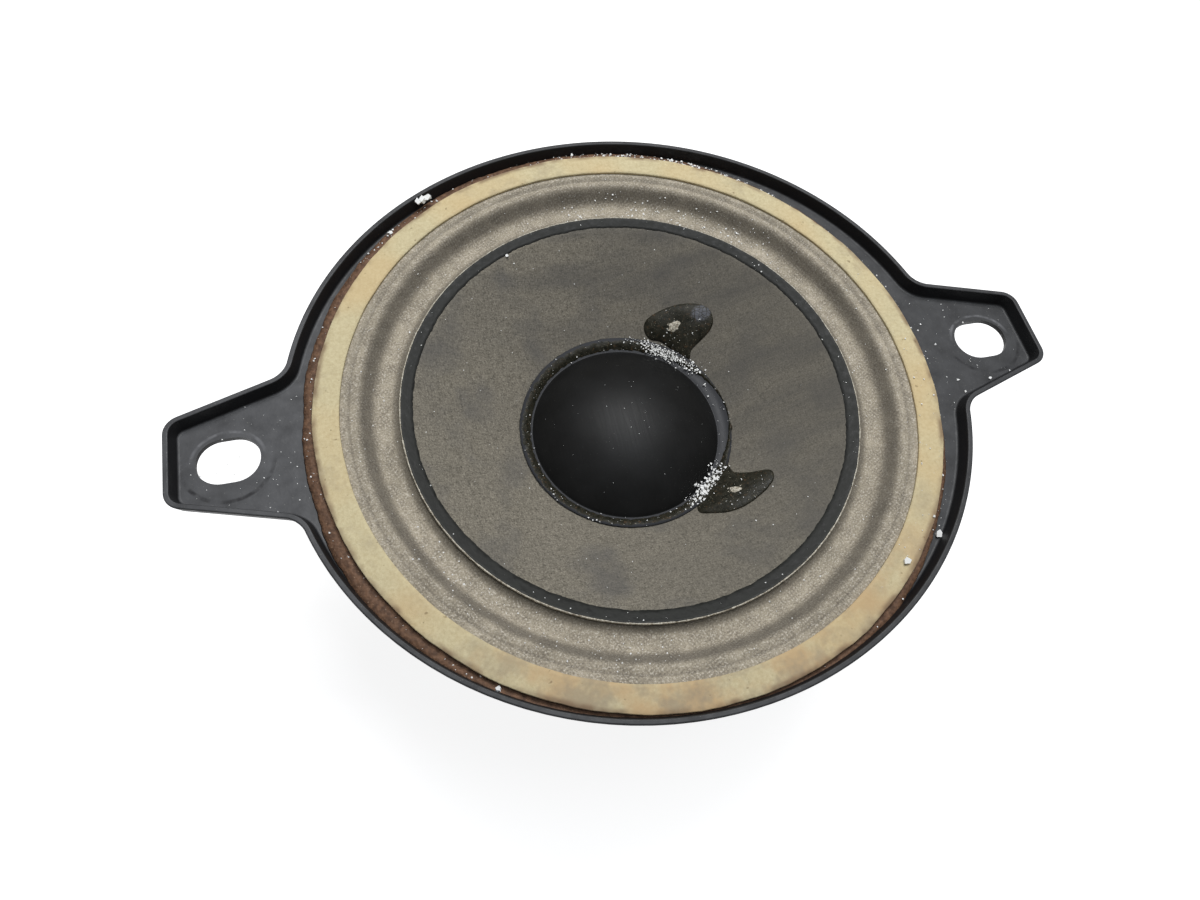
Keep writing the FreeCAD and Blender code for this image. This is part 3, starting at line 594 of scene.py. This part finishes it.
def turn_section(name, section, steps, material, shift=None):
    """Turn a closed (radius, height) section about Z; shift moves each point."""
    points = []
    for step in range(steps):
        angle = 2 * math.pi * step / steps
        for radius, height in section:
            if shift is not None:
                radius, height = shift(radius, height, angle)
            points.append((radius * math.cos(angle), radius * math.sin(angle), height))
    count = len(section)
    faces = []
    for step in range(steps):
        here = step * count
        there = (step + 1) % steps * count
        for i in range(count):
            j = (i + 1) % count
            faces.append((here + i, there + i, there + j, here + j))
    return make_object(name, points, faces, material)


def sheet_section(front, thickness):
    """Close a front line of (radius, height) points into a thin sheet's section."""
    back = [(radius, height - thickness) for radius, height in reversed(front)]
    return front + back


def spread(start, end, count):
    return [start + (end - start) * i / (count - 1) for i in range(count)]


def smoothstep(t):
    t = min(1.0, max(0.0, t))
    return t * t * (3 - 2 * t)


def wobble(x, y, z, size):
    """Smooth noise, about -1 to 1, whose features are about size millimetres."""
    return noise.noise(Vector((x / size, y / size, z / size)))


def around(angle, size, seed=0.0, radius=40.0):
    return wobble(radius * math.cos(angle), radius * math.sin(angle), seed, size)


def soft_ring(piece, radii, start_body, end_body):
    """Blend a ring piece across the joint by distance from the axis."""
    inner, outer = radii
    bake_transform(piece, start_body, end_body, start=(outer * MM, 0, 0), end=(inner * MM, 0, 0))
    shares = piece.data.attributes["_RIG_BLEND"].data
    for vertex, share in zip(piece.data.vertices, shares):
        radius = math.hypot(vertex.co.x, vertex.co.y) / MM
        share.value = smoothstep((outer - radius) / (outer - inner))


# ---- surfaces that other pieces lie on ----


def surround_z(radius):
    """Height of the cloth's front: a smooth curve through the wave's points."""
    if radius >= LIP_END:
        return LIP_Z
    for (r1, z1, s1), (r0, z0, s0) in zip(WAVE, WAVE[1:]):
        if radius >= r0:
            width = r1 - r0
            t = (radius - r0) / width
            flat = z0 + (z1 - z0) * t * t * (3 - 2 * t)
            return flat + width * t * (1 - t) * (s0 * (1 - t) - s1 * t)
    return WAVE[-1][1]


def cone_z(radius):
    rim = CONE_TOP - (CONE_OUT - RIM_IN) * RIM_SLOPE
    if radius > RIM_IN:
        return rim + (radius - RIM_IN) * RIM_SLOPE
    return rim - (RIM_IN - radius) * CONE_SLOPE


def cone_wave(radius, angle):
    """The paper isn't perfectly true."""
    return 0.05 * wobble(radius * math.cos(angle), radius * math.sin(angle), 3.0, 6.0)


# ---- pieces at the front ----


def make_gasket(material):
    rounding = 0.1
    section = [
        (GASKET_IN, GASKET_LOW),
        (GASKET_IN, GASKET_TOP - rounding),
        (GASKET_IN + rounding * 0.5, GASKET_TOP),
    ]
    section += [(radius, GASKET_TOP) for radius in spread(GASKET_IN + 0.5, GASKET_OUT - 0.6, 7)]
    section += [
        (GASKET_OUT - rounding, GASKET_TOP - 0.02),
        (GASKET_OUT, GASKET_TOP - rounding),
        (GASKET_OUT, GASKET_LOW),
    ]
    section.reverse()

    def shift(radius, height, angle):
        share = (radius - GASKET_IN) / (GASKET_OUT - GASKET_IN)
        cut = 0.08 + 0.14 * around(angle, 5.0) + 0.05 * around(angle, 1.4, 7.0)
        radius += cut * share + 0.05 * around(angle, 3.0, 4.0) * (1 - share)
        if height > GASKET_LOW + 0.1:
            height += 0.06 * wobble(radius * math.cos(angle), radius * math.sin(angle), 1.0, 2.5) - 0.05
        return radius, height

    ring = turn_section("gasket_card", section, 540, material, shift)
    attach(ring, "chassis")
    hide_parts("gasket_ring")


# How far the cement reaches past its middling radius, by angle in degrees.
CEMENT_REACH = (
    (0, -0.4), (40, 0.1), (70, 0.7), (130, 0.8), (180, 0.6), (210, 1.3), (240, 1.3), (285, 0.9),
    (325, 0.0), (360, -0.4),
)


def cement_reach(angle):
    place = math.degrees(angle) % 360
    for (a0, v0), (a1, v1) in zip(CEMENT_REACH, CEMENT_REACH[1:]):
        if place <= a1:
            return v0 + (v1 - v0) * smoothstep((place - a0) / (a1 - a0))
    return CEMENT_REACH[-1][1]


def wall_radius(angle):
    """Distance from the axis to just inside the steel of the flange's rim."""
    half_x = FLANGE_HALF_X - WALL_INSET
    half_y = (FLANGE_FAR - FLANGE_NEAR) / 2 - WALL_INSET
    cx = math.cos(angle) / half_x
    cy = math.sin(angle) / half_y
    ox = FLANGE_SHIFT_X / half_x
    oy = (FLANGE_FAR + FLANGE_NEAR) / 2 / half_y
    a = cx * cx + cy * cy
    b = cx * ox + cy * oy
    return (b + math.sqrt(b * b - a * (ox * ox + oy * oy - 1))) / a


def make_cement(material):
    inner = LIP_END + 0.1
    outer = CEMENT_OUT
    start = GASKET_OUT - 0.1
    seat = LIP_Z - CLOTH
    section = [(inner, seat), (LIP_OUT, seat), (LIP_OUT + 0.02, LIP_Z), (GASKET_OUT - 0.15, LIP_Z)]
    section += [(radius, seat) for radius in spread(GASKET_OUT + 0.1, outer - 0.5, 4)]
    section += [(outer - 0.2, seat - 0.08), (outer, seat - 0.3), (outer + 0.1, 0.0), (inner, 0.0)]

    def shift(radius, height, angle):
        x = math.cos(angle)
        y = math.sin(angle)
        share = max(0.0, (radius - start) / (outer - start))
        crumbs = 0.22 * around(angle, 4.0, 2.0, outer) + 0.09 * around(angle, 0.9, 9.0, outer)
        radius += share * (cement_reach(angle) + crumbs)
        if abs(y) > 0.3:
            radius = min(radius, wall_radius(angle))
        if height > 0.3:
            height += 0.08 * wobble(radius * x, radius * y, 5.0, 0.7) * share
        return radius, height

    ring = turn_section("cork_cement", section, 900, material, shift)
    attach(ring, "chassis")
    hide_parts("gasket_cement")


def make_surround(material):
    under = cone_z(RIM_IN + 0.4) - PAPER - 0.1
    front = [(RIM_IN + 0.4, under), (CLOTH_IN - 0.3, WAVE[-1][1])]
    front += [(radius, surround_z(radius)) for radius in spread(CLOTH_IN, LIP_END, 72)]
    front += [(radius, LIP_Z) for radius in spread(LIP_END + 0.1, LIP_OUT, 8)]

    def shift(radius, height, angle):
        x = radius * math.cos(angle)
        y = radius * math.sin(angle)
        loose = smoothstep((LIP_END - radius) / 1.5)
        return radius, height + loose * (0.05 * wobble(x, y, 2.0, 4.0) + 0.02 * wobble(x, y, 8.0, 1.0))

    section = sheet_section(front, CLOTH)
    section.reverse()
    ring = turn_section("surround_cloth", section, 480, material, shift)
    soft_ring(ring, (CONE_OUT, CREASE - 0.3), "chassis", "cone_assembly")
    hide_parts("surround")


def make_cone(material):
    front = [(FORMER_OUT, cone_z(FORMER_OUT))]
    front += [(radius, cone_z(radius)) for radius in spread(FORMER_OUT + 0.4, RIM_IN, 44)]
    front += [(radius, cone_z(radius)) for radius in spread(RIM_IN + 0.15, CONE_OUT, 7)]

    def shift(radius, height, angle):
        return radius, height + cone_wave(radius, angle)

    section = sheet_section(front, PAPER)
    section.reverse()
    cone = turn_section("cone_paper", section, 400, material, shift)
    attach(cone, "cone_assembly")
    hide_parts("cone")


def make_cut_edge(material):
    """The pale, fuzzy cut edge of the paper, just outside the black glue."""
    low = CONE_TOP - 0.4
    section = [
        (CONE_OUT - 0.02, low),
        (CONE_OUT + 0.10, low + 0.04),
        (CONE_OUT + 0.12, CONE_TOP - 0.02),
        (CONE_OUT + 0.04, CONE_TOP + 0.09),
        (CONE_OUT - 0.10, CONE_TOP + 0.05),
    ]

    def shift(radius, height, angle):
        fuzz = 0.04 * around(angle, 0.5, 1.0, CONE_OUT) + 0.04 * around(angle, 2.0, 6.0, CONE_OUT)
        return radius + fuzz, height + 0.6 * fuzz + cone_wave(radius, angle)

    edge = turn_section("cone_cut_edge", section, 900, material, shift)
    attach(edge, "cone_assembly")


def make_edge_glue(material):
    thickness = GLUE_TOP - CONE_TOP
    inner = RIM_IN + 0.12
    section = [(inner - 0.25, -0.06), (inner - 0.18, 0.03)]
    section += [(radius, thickness) for radius in spread(inner + 0.15, CONE_OUT - 0.12, 8)]
    section += [(CONE_OUT - 0.02, thickness * 0.5), (CONE_OUT - 0.06, -0.06)]
    section.reverse()

    def shift(radius, height, angle):
        share = max(0.0, 1 - (radius - inner) / 0.7)
        ragged = 0.08 * around(angle, 2.2, 3.0) + 0.07 * around(angle, 0.6, 5.0)
        radius += min(share, 1.2) * (ragged + 0.18 * (1 + math.sin(angle)))
        bumps = 0.03 * wobble(radius * math.cos(angle), radius * math.sin(angle), 6.0, 0.9)
        lift = height + (bumps if height > 0.05 else 0.0)
        return radius, cone_z(radius) + cone_wave(radius, angle) + lift

    ring = turn_section("edge_glue", section, 720, material, shift)
    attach(ring, "cone_assembly")
    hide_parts("cone_edge_glue")


def cap_sphere():
    """Radius and centre height of the dome's sphere."""
    edge_z = cone_z(CAP_OUT) + 0.40
    rise = CAP_TOP - edge_z
    radius = (CAP_OUT**2 + rise**2) / (2 * rise)
    return radius, CAP_TOP - radius, edge_z


def cap_z(radius):
    sphere, centre, _ = cap_sphere()
    return centre + math.sqrt(max(0.0, sphere**2 - radius**2))


def make_cap(material):
    edge_z = cap_sphere()[2]
    skirt = CAP_OUT + 2.0
    front = [(radius, cap_z(radius)) for radius in spread(0.0, CAP_OUT - 0.25, 40)]
    front += [
        (CAP_OUT - 0.05, cap_z(CAP_OUT - 0.05) - 0.02),
        (CAP_OUT + 0.10, edge_z - 0.12),
        (CAP_OUT + 0.22, edge_z - 0.10),
        (skirt, cone_z(skirt) + 0.30),
    ]
    section = sheet_section(front, 0.22)
    section.reverse()
    cap = turn_section("dust_cap_dome", section, 240, material)
    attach(cap, "cone_assembly")
    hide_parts("dust_cap")


def make_cap_glue(material):
    inner = CAP_OUT + 0.35
    outer = CAP_GLUE_OUT + 0.1
    section = []
    for i in range(12):
        t = i / 11
        height = BEAD_HEIGHT * math.sin(math.pi * min(1.0, t * 0.9 + 0.12))
        section.append((inner + (outer - inner) * t, height))
    section.append((outer + 0.1, -0.08))
    section.append((inner - 0.1, -0.08))
    section.reverse()

    def shift(radius, height, angle):
        share = (radius - inner) / (outer - inner)
        right = max(0.0, math.cos(angle - 0.05)) ** 6
        radius += (1 - share) * 1.5 * right
        radius += share * (0.20 * around(angle, 3.0, 1.0, 16) + 0.14 * around(angle, 0.8, 4.0, 16))
        lumps = 0.12 * wobble(radius * math.cos(angle), radius * math.sin(angle), 4.0, 0.8)
        lumps += 0.06 * wobble(radius * math.cos(angle), radius * math.sin(angle), 9.0, 0.3)
        lift = height + (lumps if height > 0.05 else 0.0)
        return radius, cone_z(radius) + lift

    ring = turn_section("cap_glue_bead", section, 720, material, shift)
    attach(ring, "cone_assembly")
    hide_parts("dust_cap_glue")


def closed_curve(corners, count):
    """Points on a smooth closed curve through the corners."""
    points = []
    n = len(corners)
    for k in range(count):
        place = k * n / count
        i = int(place)
        t = place - i
        a, b, c, d = (Vector(corners[(i + j) % n]) for j in (-1, 0, 1, 2))
        points.append(
            0.5 * (2 * b + (c - a) * t + (2 * a - 5 * b + 4 * c - d) * t**2 + (3 * b - a - 3 * c + d) * t**3)
        )
    return points


# The two patches' outlines on the cone, and the middle of the wire knot in each.
LEAD_GLUE = {
    "positive": [
        (9.3, 13.8), (7.5, 14.8), (6.8, 16.3), (7.4, 17.6), (9.6, 18.3), (12.2, 18.4), (14.6, 17.9),
        (16.5, 16.9), (17.3, 15.8), (17.4, 14.2), (16.6, 13.0), (15.2, 12.2), (13.5, 11.3), (12.6, 10.2),
    ],
    "negative": [
        (13.0, -8.6), (13.9, -10.5), (15.7, -11.5), (18.3, -12.3), (18.3, -13.9), (17.0, -15.2),
        (15.8, -15.9), (14.3, -16.6), (12.6, -17.1), (10.6, -17.2), (8.5, -16.6), (6.9, -15.6), (8.1, -13.1),
    ],
}
LEAD_SPOT = {"positive": (11.3, 15.2), "negative": (12.7, -14.0)}


def make_mound(name, x, y, reach_x, reach_y, material):
    """A low lumpy knot of wire ends, standing out of the glue."""
    sides = 40
    shares = [1.0, 0.9, 0.75, 0.55, 0.35, 0.15]
    points = []
    for share in shares:
        for k in range(sides):
            angle = 2 * math.pi * k / sides
            ragged = 1 + 0.35 * wobble(math.cos(angle) * 3 + x, math.sin(angle) * 3 + y, 1.0, 1.5)
            px = x + reach_x * share * ragged * math.cos(angle)
            py = y + reach_y * share * ragged * math.sin(angle)
            height = 0.7 + 0.42 * (1 - share**2) + 0.22 * wobble(px, py, 3.0, 0.45) * (1 - share**4)
            points.append((px, py, cone_z(math.hypot(px, py)) + height))
    faces = []
    for level in range(len(shares) - 1):
        for k in range(sides):
            j = (k + 1) % sides
            low = level * sides
            top = low + sides
            faces.append((low + k, low + j, top + j, top + k))
    faces.append(tuple(range((len(shares) - 1) * sides, len(shares) * sides)))
    faces.append(tuple(reversed(range(sides))))
    return make_object(name, points, faces, material)


def make_lead_glue(name, material, pale):
    outline = closed_curve(LEAD_GLUE[name], 96)
    centre = sum(outline, Vector((0, 0))) / len(outline)
    points = []
    shares = [1.0, 0.97, 0.92, 0.85, 0.76, 0.66, 0.55, 0.44, 0.33, 0.22, 0.11]
    for share in shares:
        for edge in outline:
            spot = centre + (edge - centre) * share
            radius = spot.length
            dome = PETAL_HEIGHT * (1 - share**3) + (0.12 if share < 1 else -0.06)
            dome += 0.14 * wobble(spot.x, spot.y, 2.0, 2.4) * (1 - share**4)
            dome += 0.04 * wobble(spot.x, spot.y, 6.0, 0.4) * (1 - share**4)
            points.append((spot.x, spot.y, cone_z(radius) + dome))
    count = len(outline)
    faces = []
    for level in range(len(shares) - 1):
        for i in range(count):
            j = (i + 1) % count
            low = level * count
            top = low + count
            faces.append((low + i, low + j, top + j, top + i))
    last = (len(shares) - 1) * count
    faces.append(tuple(last + i for i in range(count)))
    base = len(points)
    for edge in outline:
        points.append((edge.x, edge.y, cone_z(edge.length) - 0.2))
    for i in range(count):
        j = (i + 1) % count
        faces.append((base + i, base + j, j, i))
    faces.append(tuple(base + i for i in reversed(range(count))))
    patch = make_object(f"lead_glue_patch_{name}", points, faces, material)
    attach(patch, "cone_assembly")
    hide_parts(f"lead_glue_{name}")
    x, y = LEAD_SPOT[name]
    mound = make_mound(f"lead_knot_{name}", x, y, 1.45, 0.85, pale)
    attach(mound, "cone_assembly")
    rng = random.Random(len(name))
    grains = []
    for _ in range(26):
        gx = x + rng.gauss(0, 0.62)
        gy = y + rng.gauss(0, 0.38)
        size = rng.uniform(0.12, 0.34)
        grains.append((gx, gy, cone_z(math.hypot(gx, gy)) + 0.86 + rng.uniform(-0.05, 0.12), size))
    crumbs = make_grains(f"lead_end_{name}", grains, pale, rng)
    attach(crumbs, "cone_assembly")


# ---- dust and paint flakes ----


def make_grains(name, grains, material, rng):
    """Small irregular chips, each (x, y, z, size), joined in one piece."""
    points = []
    faces = []
    for x, y, z, size in grains:
        sides = rng.choice((4, 5, 6))
        start = len(points)
        tilt_x = rng.uniform(-0.35, 0.35)
        tilt_y = rng.uniform(-0.35, 0.35)
        thick = size * rng.uniform(0.22, 0.45)
        for lift in (-0.5, 0.5):
            for k in range(sides):
                a = 2 * math.pi * (k + rng.uniform(-0.25, 0.25)) / sides
                reach = size / 2 * rng.uniform(0.55, 1.15)
                dx = reach * math.cos(a)
                dy = reach * math.sin(a)
                points.append((x + dx, y + dy, z + lift * thick + dx * tilt_x + dy * tilt_y))
        low = [start + k for k in range(sides)]
        top = [start + sides + k for k in range(sides)]
        faces.append(tuple(reversed(low)))
        faces.append(tuple(top))
        for k in range(sides):
            j = (k + 1) % sides
            faces.append((low[k], low[j], top[j], top[k]))
    return make_object(name, points, faces, material, smooth=False)


def scatter(rng, count, angles, radii, surface, sizes):
    """Chips spread over part of a ring; most are near the small end of sizes."""
    grains = []
    for _ in range(count):
        angle = math.radians(rng.uniform(*angles))
        radius = rng.uniform(*radii)
        size = sizes[0] + (sizes[1] - sizes[0]) * rng.random() ** 3
        x = radius * math.cos(angle)
        y = radius * math.sin(angle)
        grains.append((x, y, surface(x, y) + size * 0.15, size))
    return grains


def heap(rng, count, x, y, spread_x, spread_y, turn, surface, sizes):
    """Chips heaped about a point, in an ellipse turned by an angle."""
    grains = []
    c = math.cos(math.radians(turn))
    s = math.sin(math.radians(turn))
    for _ in range(count):
        u = rng.gauss(0, spread_x)
        v = rng.gauss(0, spread_y)
        gx = x + u * c - v * s
        gy = y + u * s + v * c
        size = sizes[0] + (sizes[1] - sizes[0]) * rng.random() ** 2
        grains.append((gx, gy, surface(gx, gy) + size * 0.15, size))
    return grains


def cone_side_top(x, y):
    """Top of whatever lies on the moving side at a place."""
    radius = math.hypot(x, y)
    if radius < CAP_OUT:
        return cap_z(radius)
    if radius < CAP_GLUE_OUT + 0.1:
        return cone_z(radius) + BEAD_HEIGHT
    if radius > RIM_IN:
        return cone_z(radius) + 0.12
    return cone_z(radius)


def petal_top(x, y):
    return cone_z(math.hypot(x, y)) + PETAL_HEIGHT


def cloth_top(x, y):
    return surround_z(math.hypot(x, y))


def frame_side_top(x, y):
    """Top of the cloth, gasket, cement or bare flange at a place."""
    radius = math.hypot(x, y)
    if radius < GASKET_IN:
        return surround_z(radius)
    if radius < GASKET_OUT - 0.05:
        return GASKET_TOP
    if radius < CEMENT_OUT - 0.15 + cement_reach(math.atan2(y, x)):
        return LIP_Z - CLOTH
    return 0.0


def rim_scatter(rng, count, angles, sizes):
    """Chips in the channel between the gasket and the flange's rim."""
    grains = []
    for x, y, _, size in scatter(rng, count, angles, (GASKET_OUT + 0.05, 45.4), frame_side_top, sizes):
        if math.hypot(x, y) < wall_radius(math.atan2(y, x)) - 0.4:
            grains.append((x, y, frame_side_top(x, y) + size * 0.15, size))
    return grains


def make_dust(material):
    rng = random.Random(11)
    frame_grains = rim_scatter(rng, 190, (0, 360), (0.08, 0.38))
    frame_grains += rim_scatter(rng, 110, (40, 140), (0.10, 0.45))
    frame_grains += rim_scatter(rng, 260, (45, 92), (0.08, 0.5))
    frame_grains += scatter(rng, 50, (-60, 20), (40.5, 43.5), frame_side_top, (0.08, 0.3))
    frame_grains += scatter(rng, 60, (-14, 14), (45.5, 60.0), frame_side_top, (0.08, 0.32))
    frame_grains += scatter(rng, 60, (170, 190), (45.5, 60.0), frame_side_top, (0.08, 0.25))
    for step in (-1, 0, 1):
        frame_grains.append((-24.4 + 0.75 * step, 38.2 + 0.32 * step, RIM_TOP + 0.02, 1.3))
    frame_grains += heap(rng, 4, -29.5, 34.0, 0.7, 0.3, 45, frame_side_top, (0.3, 0.7))
    frame_grains += heap(rng, 30, 18.0, 40.6, 2.4, 0.3, -24, frame_side_top, (0.15, 0.6))
    for x, y, size in (
        (35.4, -28.6, 1.3), (28.7, -31.6, 1.2), (34.9, -26.4, 0.45), (-25.9, -36.2, 0.9), (47.4, 0.2, 0.4),
        (48.3, -6.3, 0.5), (48.6, -8.4, 0.45), (53.4, -6.9, 0.6), (57.0, -6.2, 0.3), (-30.6, -33.5, 0.35),
    ):
        frame_grains.append((x, y, frame_side_top(x, y) + 0.1, size))
    frame_dust = make_grains("dust_on_flange", frame_grains, material, rng)
    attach(frame_dust, "chassis")

    cloth_grains = scatter(rng, 240, (0, 360), (32.9, 39.6), cloth_top, (0.06, 0.28))
    cloth_grains += scatter(rng, 260, (35, 95), (32.9, 37.5), cloth_top, (0.07, 0.38))
    cloth_grains += scatter(rng, 120, (205, 265), (33.5, 38.5), cloth_top, (0.07, 0.28))
    cloth_dust = make_grains("dust_on_surround", cloth_grains, material, rng)
    soft_ring(cloth_dust, (CONE_OUT, CREASE - 0.3), "chassis", "cone_assembly")

    grains = scatter(rng, 120, (0, 360), (16.6, 30.4), cone_side_top, (0.05, 0.2))
    grains += scatter(rng, 130, (0, 360), (14.4, 16.3), cone_side_top, (0.08, 0.3))
    grains += scatter(rng, 60, (0, 360), (31.0, 32.4), cone_side_top, (0.06, 0.25))
    grains += scatter(rng, 40, (0, 360), (1.0, 13.8), cone_side_top, (0.05, 0.14))
    grains += heap(rng, 420, 9.0, 12.2, 2.5, 0.4, -37, cone_side_top, (0.06, 0.36))
    grains += heap(rng, 60, 12.6, 9.0, 1.3, 0.5, -45, cone_side_top, (0.10, 0.45))
    grains += heap(rng, 190, 9.0, -11.9, 2.0, 0.6, 36, cone_side_top, (0.08, 0.55))
    grains += heap(rng, 50, 11.6, -10.0, 1.0, 0.6, 50, cone_side_top, (0.12, 0.5))
    grains += heap(rng, 40, 13.5, -14.0, 1.8, 1.2, 0, petal_top, (0.08, 0.25))
    grains += heap(rng, 40, 12.5, 14.6, 2.2, 1.2, 0, petal_top, (0.08, 0.25))
    for x, y, size in ((-13.2, 28.0, 0.6), (13.3, -20.0, 0.3), (15.0, -21.5, 0.25), (-12.3, 27.0, 0.3)):
        grains.append((x, y, cone_side_top(x, y) + 0.08, size))
    cone_dust = make_grains("dust_on_cone", grains, material, rng)
    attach(cone_dust, "cone_assembly")


# ---- pieces at the back ----


def make_spider(material):
    inner = FORMER_OUT + 0.55
    wave_in = FORMER_OUT + 1.8
    wave_out = SPIDER_OUT - 4.7
    middle = SHELF + 0.2
    front = [(inner, middle + 0.2), (wave_in, middle + 0.2)]
    for radius in spread(wave_in + 0.1, wave_out, 72):
        phase = (radius - wave_in) / (wave_out - wave_in) * SPIDER_WAVES * 2 * math.pi
        front.append((radius, middle + 0.2 + 0.42 * math.sin(phase)))
    front += [(wave_out + 0.4, middle + 0.2), (SPIDER_OUT, middle + 0.2)]
    section = sheet_section(front, 0.38)
    section.reverse()
    disc = turn_section("spider_disc", section, 360, material)
    soft_ring(disc, (wave_in, wave_out), "chassis", "cone_assembly")
    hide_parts("spider")


# Each lead's middle run: share of the way along X, share along Y, height above its lowest run.
LEAD_WAYPOINTS = ((0.16, 0.12, 0.5), (0.36, 0.33, 0.0), (0.57, 0.62, 0.3), (0.76, 0.86, 0.75))


def make_lead(name, material):
    """A braided tinsel lead along the route of its CAD tube."""
    side = 1 if name == "positive" else -1
    box_low, box_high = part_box(f"lead_{name}")
    x0 = box_low.x / MM + LEAD_RADIUS
    y0 = side * (max(abs(box_low.y), abs(box_high.y)) / MM - LEAD_RADIUS)
    z0 = box_high.z / MM
    x1 = box_high.x / MM
    y1 = side * TAB_Y
    low = box_low.z / MM + LEAD_RADIUS
    span_x = x1 - x0
    span_y = y1 - y0
    route = [(x0, y0, z0 + 0.5), (x0 + 0.03 * span_x, y0 + 0.02 * span_y, (z0 + low) / 2)]
    for share_x, share_y, rise in LEAD_WAYPOINTS:
        route.append((x0 + share_x * span_x, y0 + share_y * span_y, low + rise))
    route += [(x0 + 0.90 * span_x, y1 + 0.2 * side, low + 0.9), (x1, y1, low + 0.75)]
    curve = bpy.data.curves.new(f"lead_line_{name}", "CURVE")
    curve.dimensions = "3D"
    curve.bevel_depth = LEAD_RADIUS * MM
    curve.bevel_resolution = 4
    curve.resolution_u = 10
    spline = curve.splines.new("NURBS")
    spline.points.add(len(route) - 1)
    for point, place in zip(spline.points, route):
        point.co = (*(c * MM for c in place), 1.0)
    spline.order_u = 3
    spline.use_endpoint_u = True
    holder = bpy.data.objects.new(f"lead_line_{name}", curve)
    mesh = bpy.data.meshes.new_from_object(holder)
    bpy.data.objects.remove(holder)
    mesh.materials.clear()
    mesh.materials.append(material)
    tube = bpy.data.objects.new(f"tinsel_lead_{name}", mesh)
    bpy.context.scene.collection.objects.link(tube)
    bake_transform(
        tube,
        "chassis",
        "cone_assembly",
        start=(x1 * MM, y1 * MM, low * MM),
        end=(x0 * MM, y0 * MM, low * MM),
    )
    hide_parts(f"lead_{name}")


# ---- CAD nodes that keep their shape ----


def paint_nodes():
    zinc = zinc_steel()
    rivet = plated("bright_rivet", (0.55, 0.55, 0.53), (0.78, 0.78, 0.76), 0.35)
    tin = plated("tinned_brass", (0.55, 0.50, 0.36), (0.78, 0.75, 0.62), 0.3)
    wire = copper_turns()
    amber = clear_glue()
    black = bead_glue()
    paper = kraft()
    painted = {
        "basket": black_paint(),
        "top_plate": zinc,
        "back_plate": zinc,
        "pole_piece": zinc,
        "basket_rivets": zinc,
        "magnet_ring": ferrite(),
        "magnet_glue_front": black,
        "magnet_glue_back": black,
        "terminal_board": phenolic(),
        "terminal_board_rivet": rivet,
        "terminal_eyelets": rivet,
        "terminal_tab_positive": tin,
        "terminal_tab_negative": tin,
        "solder_joints": plated("solder_drop", (0.45, 0.45, 0.45), (0.68, 0.68, 0.66), 0.28),
        "voice_coil_former": paper,
        "voice_coil_collar": paper,
        "voice_coil_winding": wire,
        "coil_wire_positive": wire,
        "coil_wire_negative": wire,
        "neck_glue": amber,
        "spider_hub_glue": amber,
        "spider_shelf_glue": amber,
    }
    for node, material in painted.items():
        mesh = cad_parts[node].data
        mesh.materials.clear()
        mesh.materials.append(material)


def make_floor():
    half = 1500.0
    corners = [(-half, -half, FLOOR), (half, -half, FLOOR), (half, half, FLOOR), (-half, half, FLOOR)]
    floor = make_object("floor", corners, [(0, 1, 2, 3)], pale_floor(), smooth=False)


make_camera()
make_light()
make_floor()
paint_nodes()
make_gasket(gasket_card())
make_cement(cork_cement())
make_surround(doped_cloth())
make_cone(cone_paper())
make_cut_edge(pale_wire())
make_edge_glue(edge_glue())
make_cap(satin_cap())
bead = bead_glue()
make_cap_glue(bead)
pale = pale_wire()
for lead_name in LEAD_GLUE:
    make_lead_glue(lead_name, bead, pale)
make_dust(white_dust())
make_spider(spider_cloth())
tinsel = braid()
for lead_name in LEAD_GLUE:
    make_lead(lead_name, tinsel)
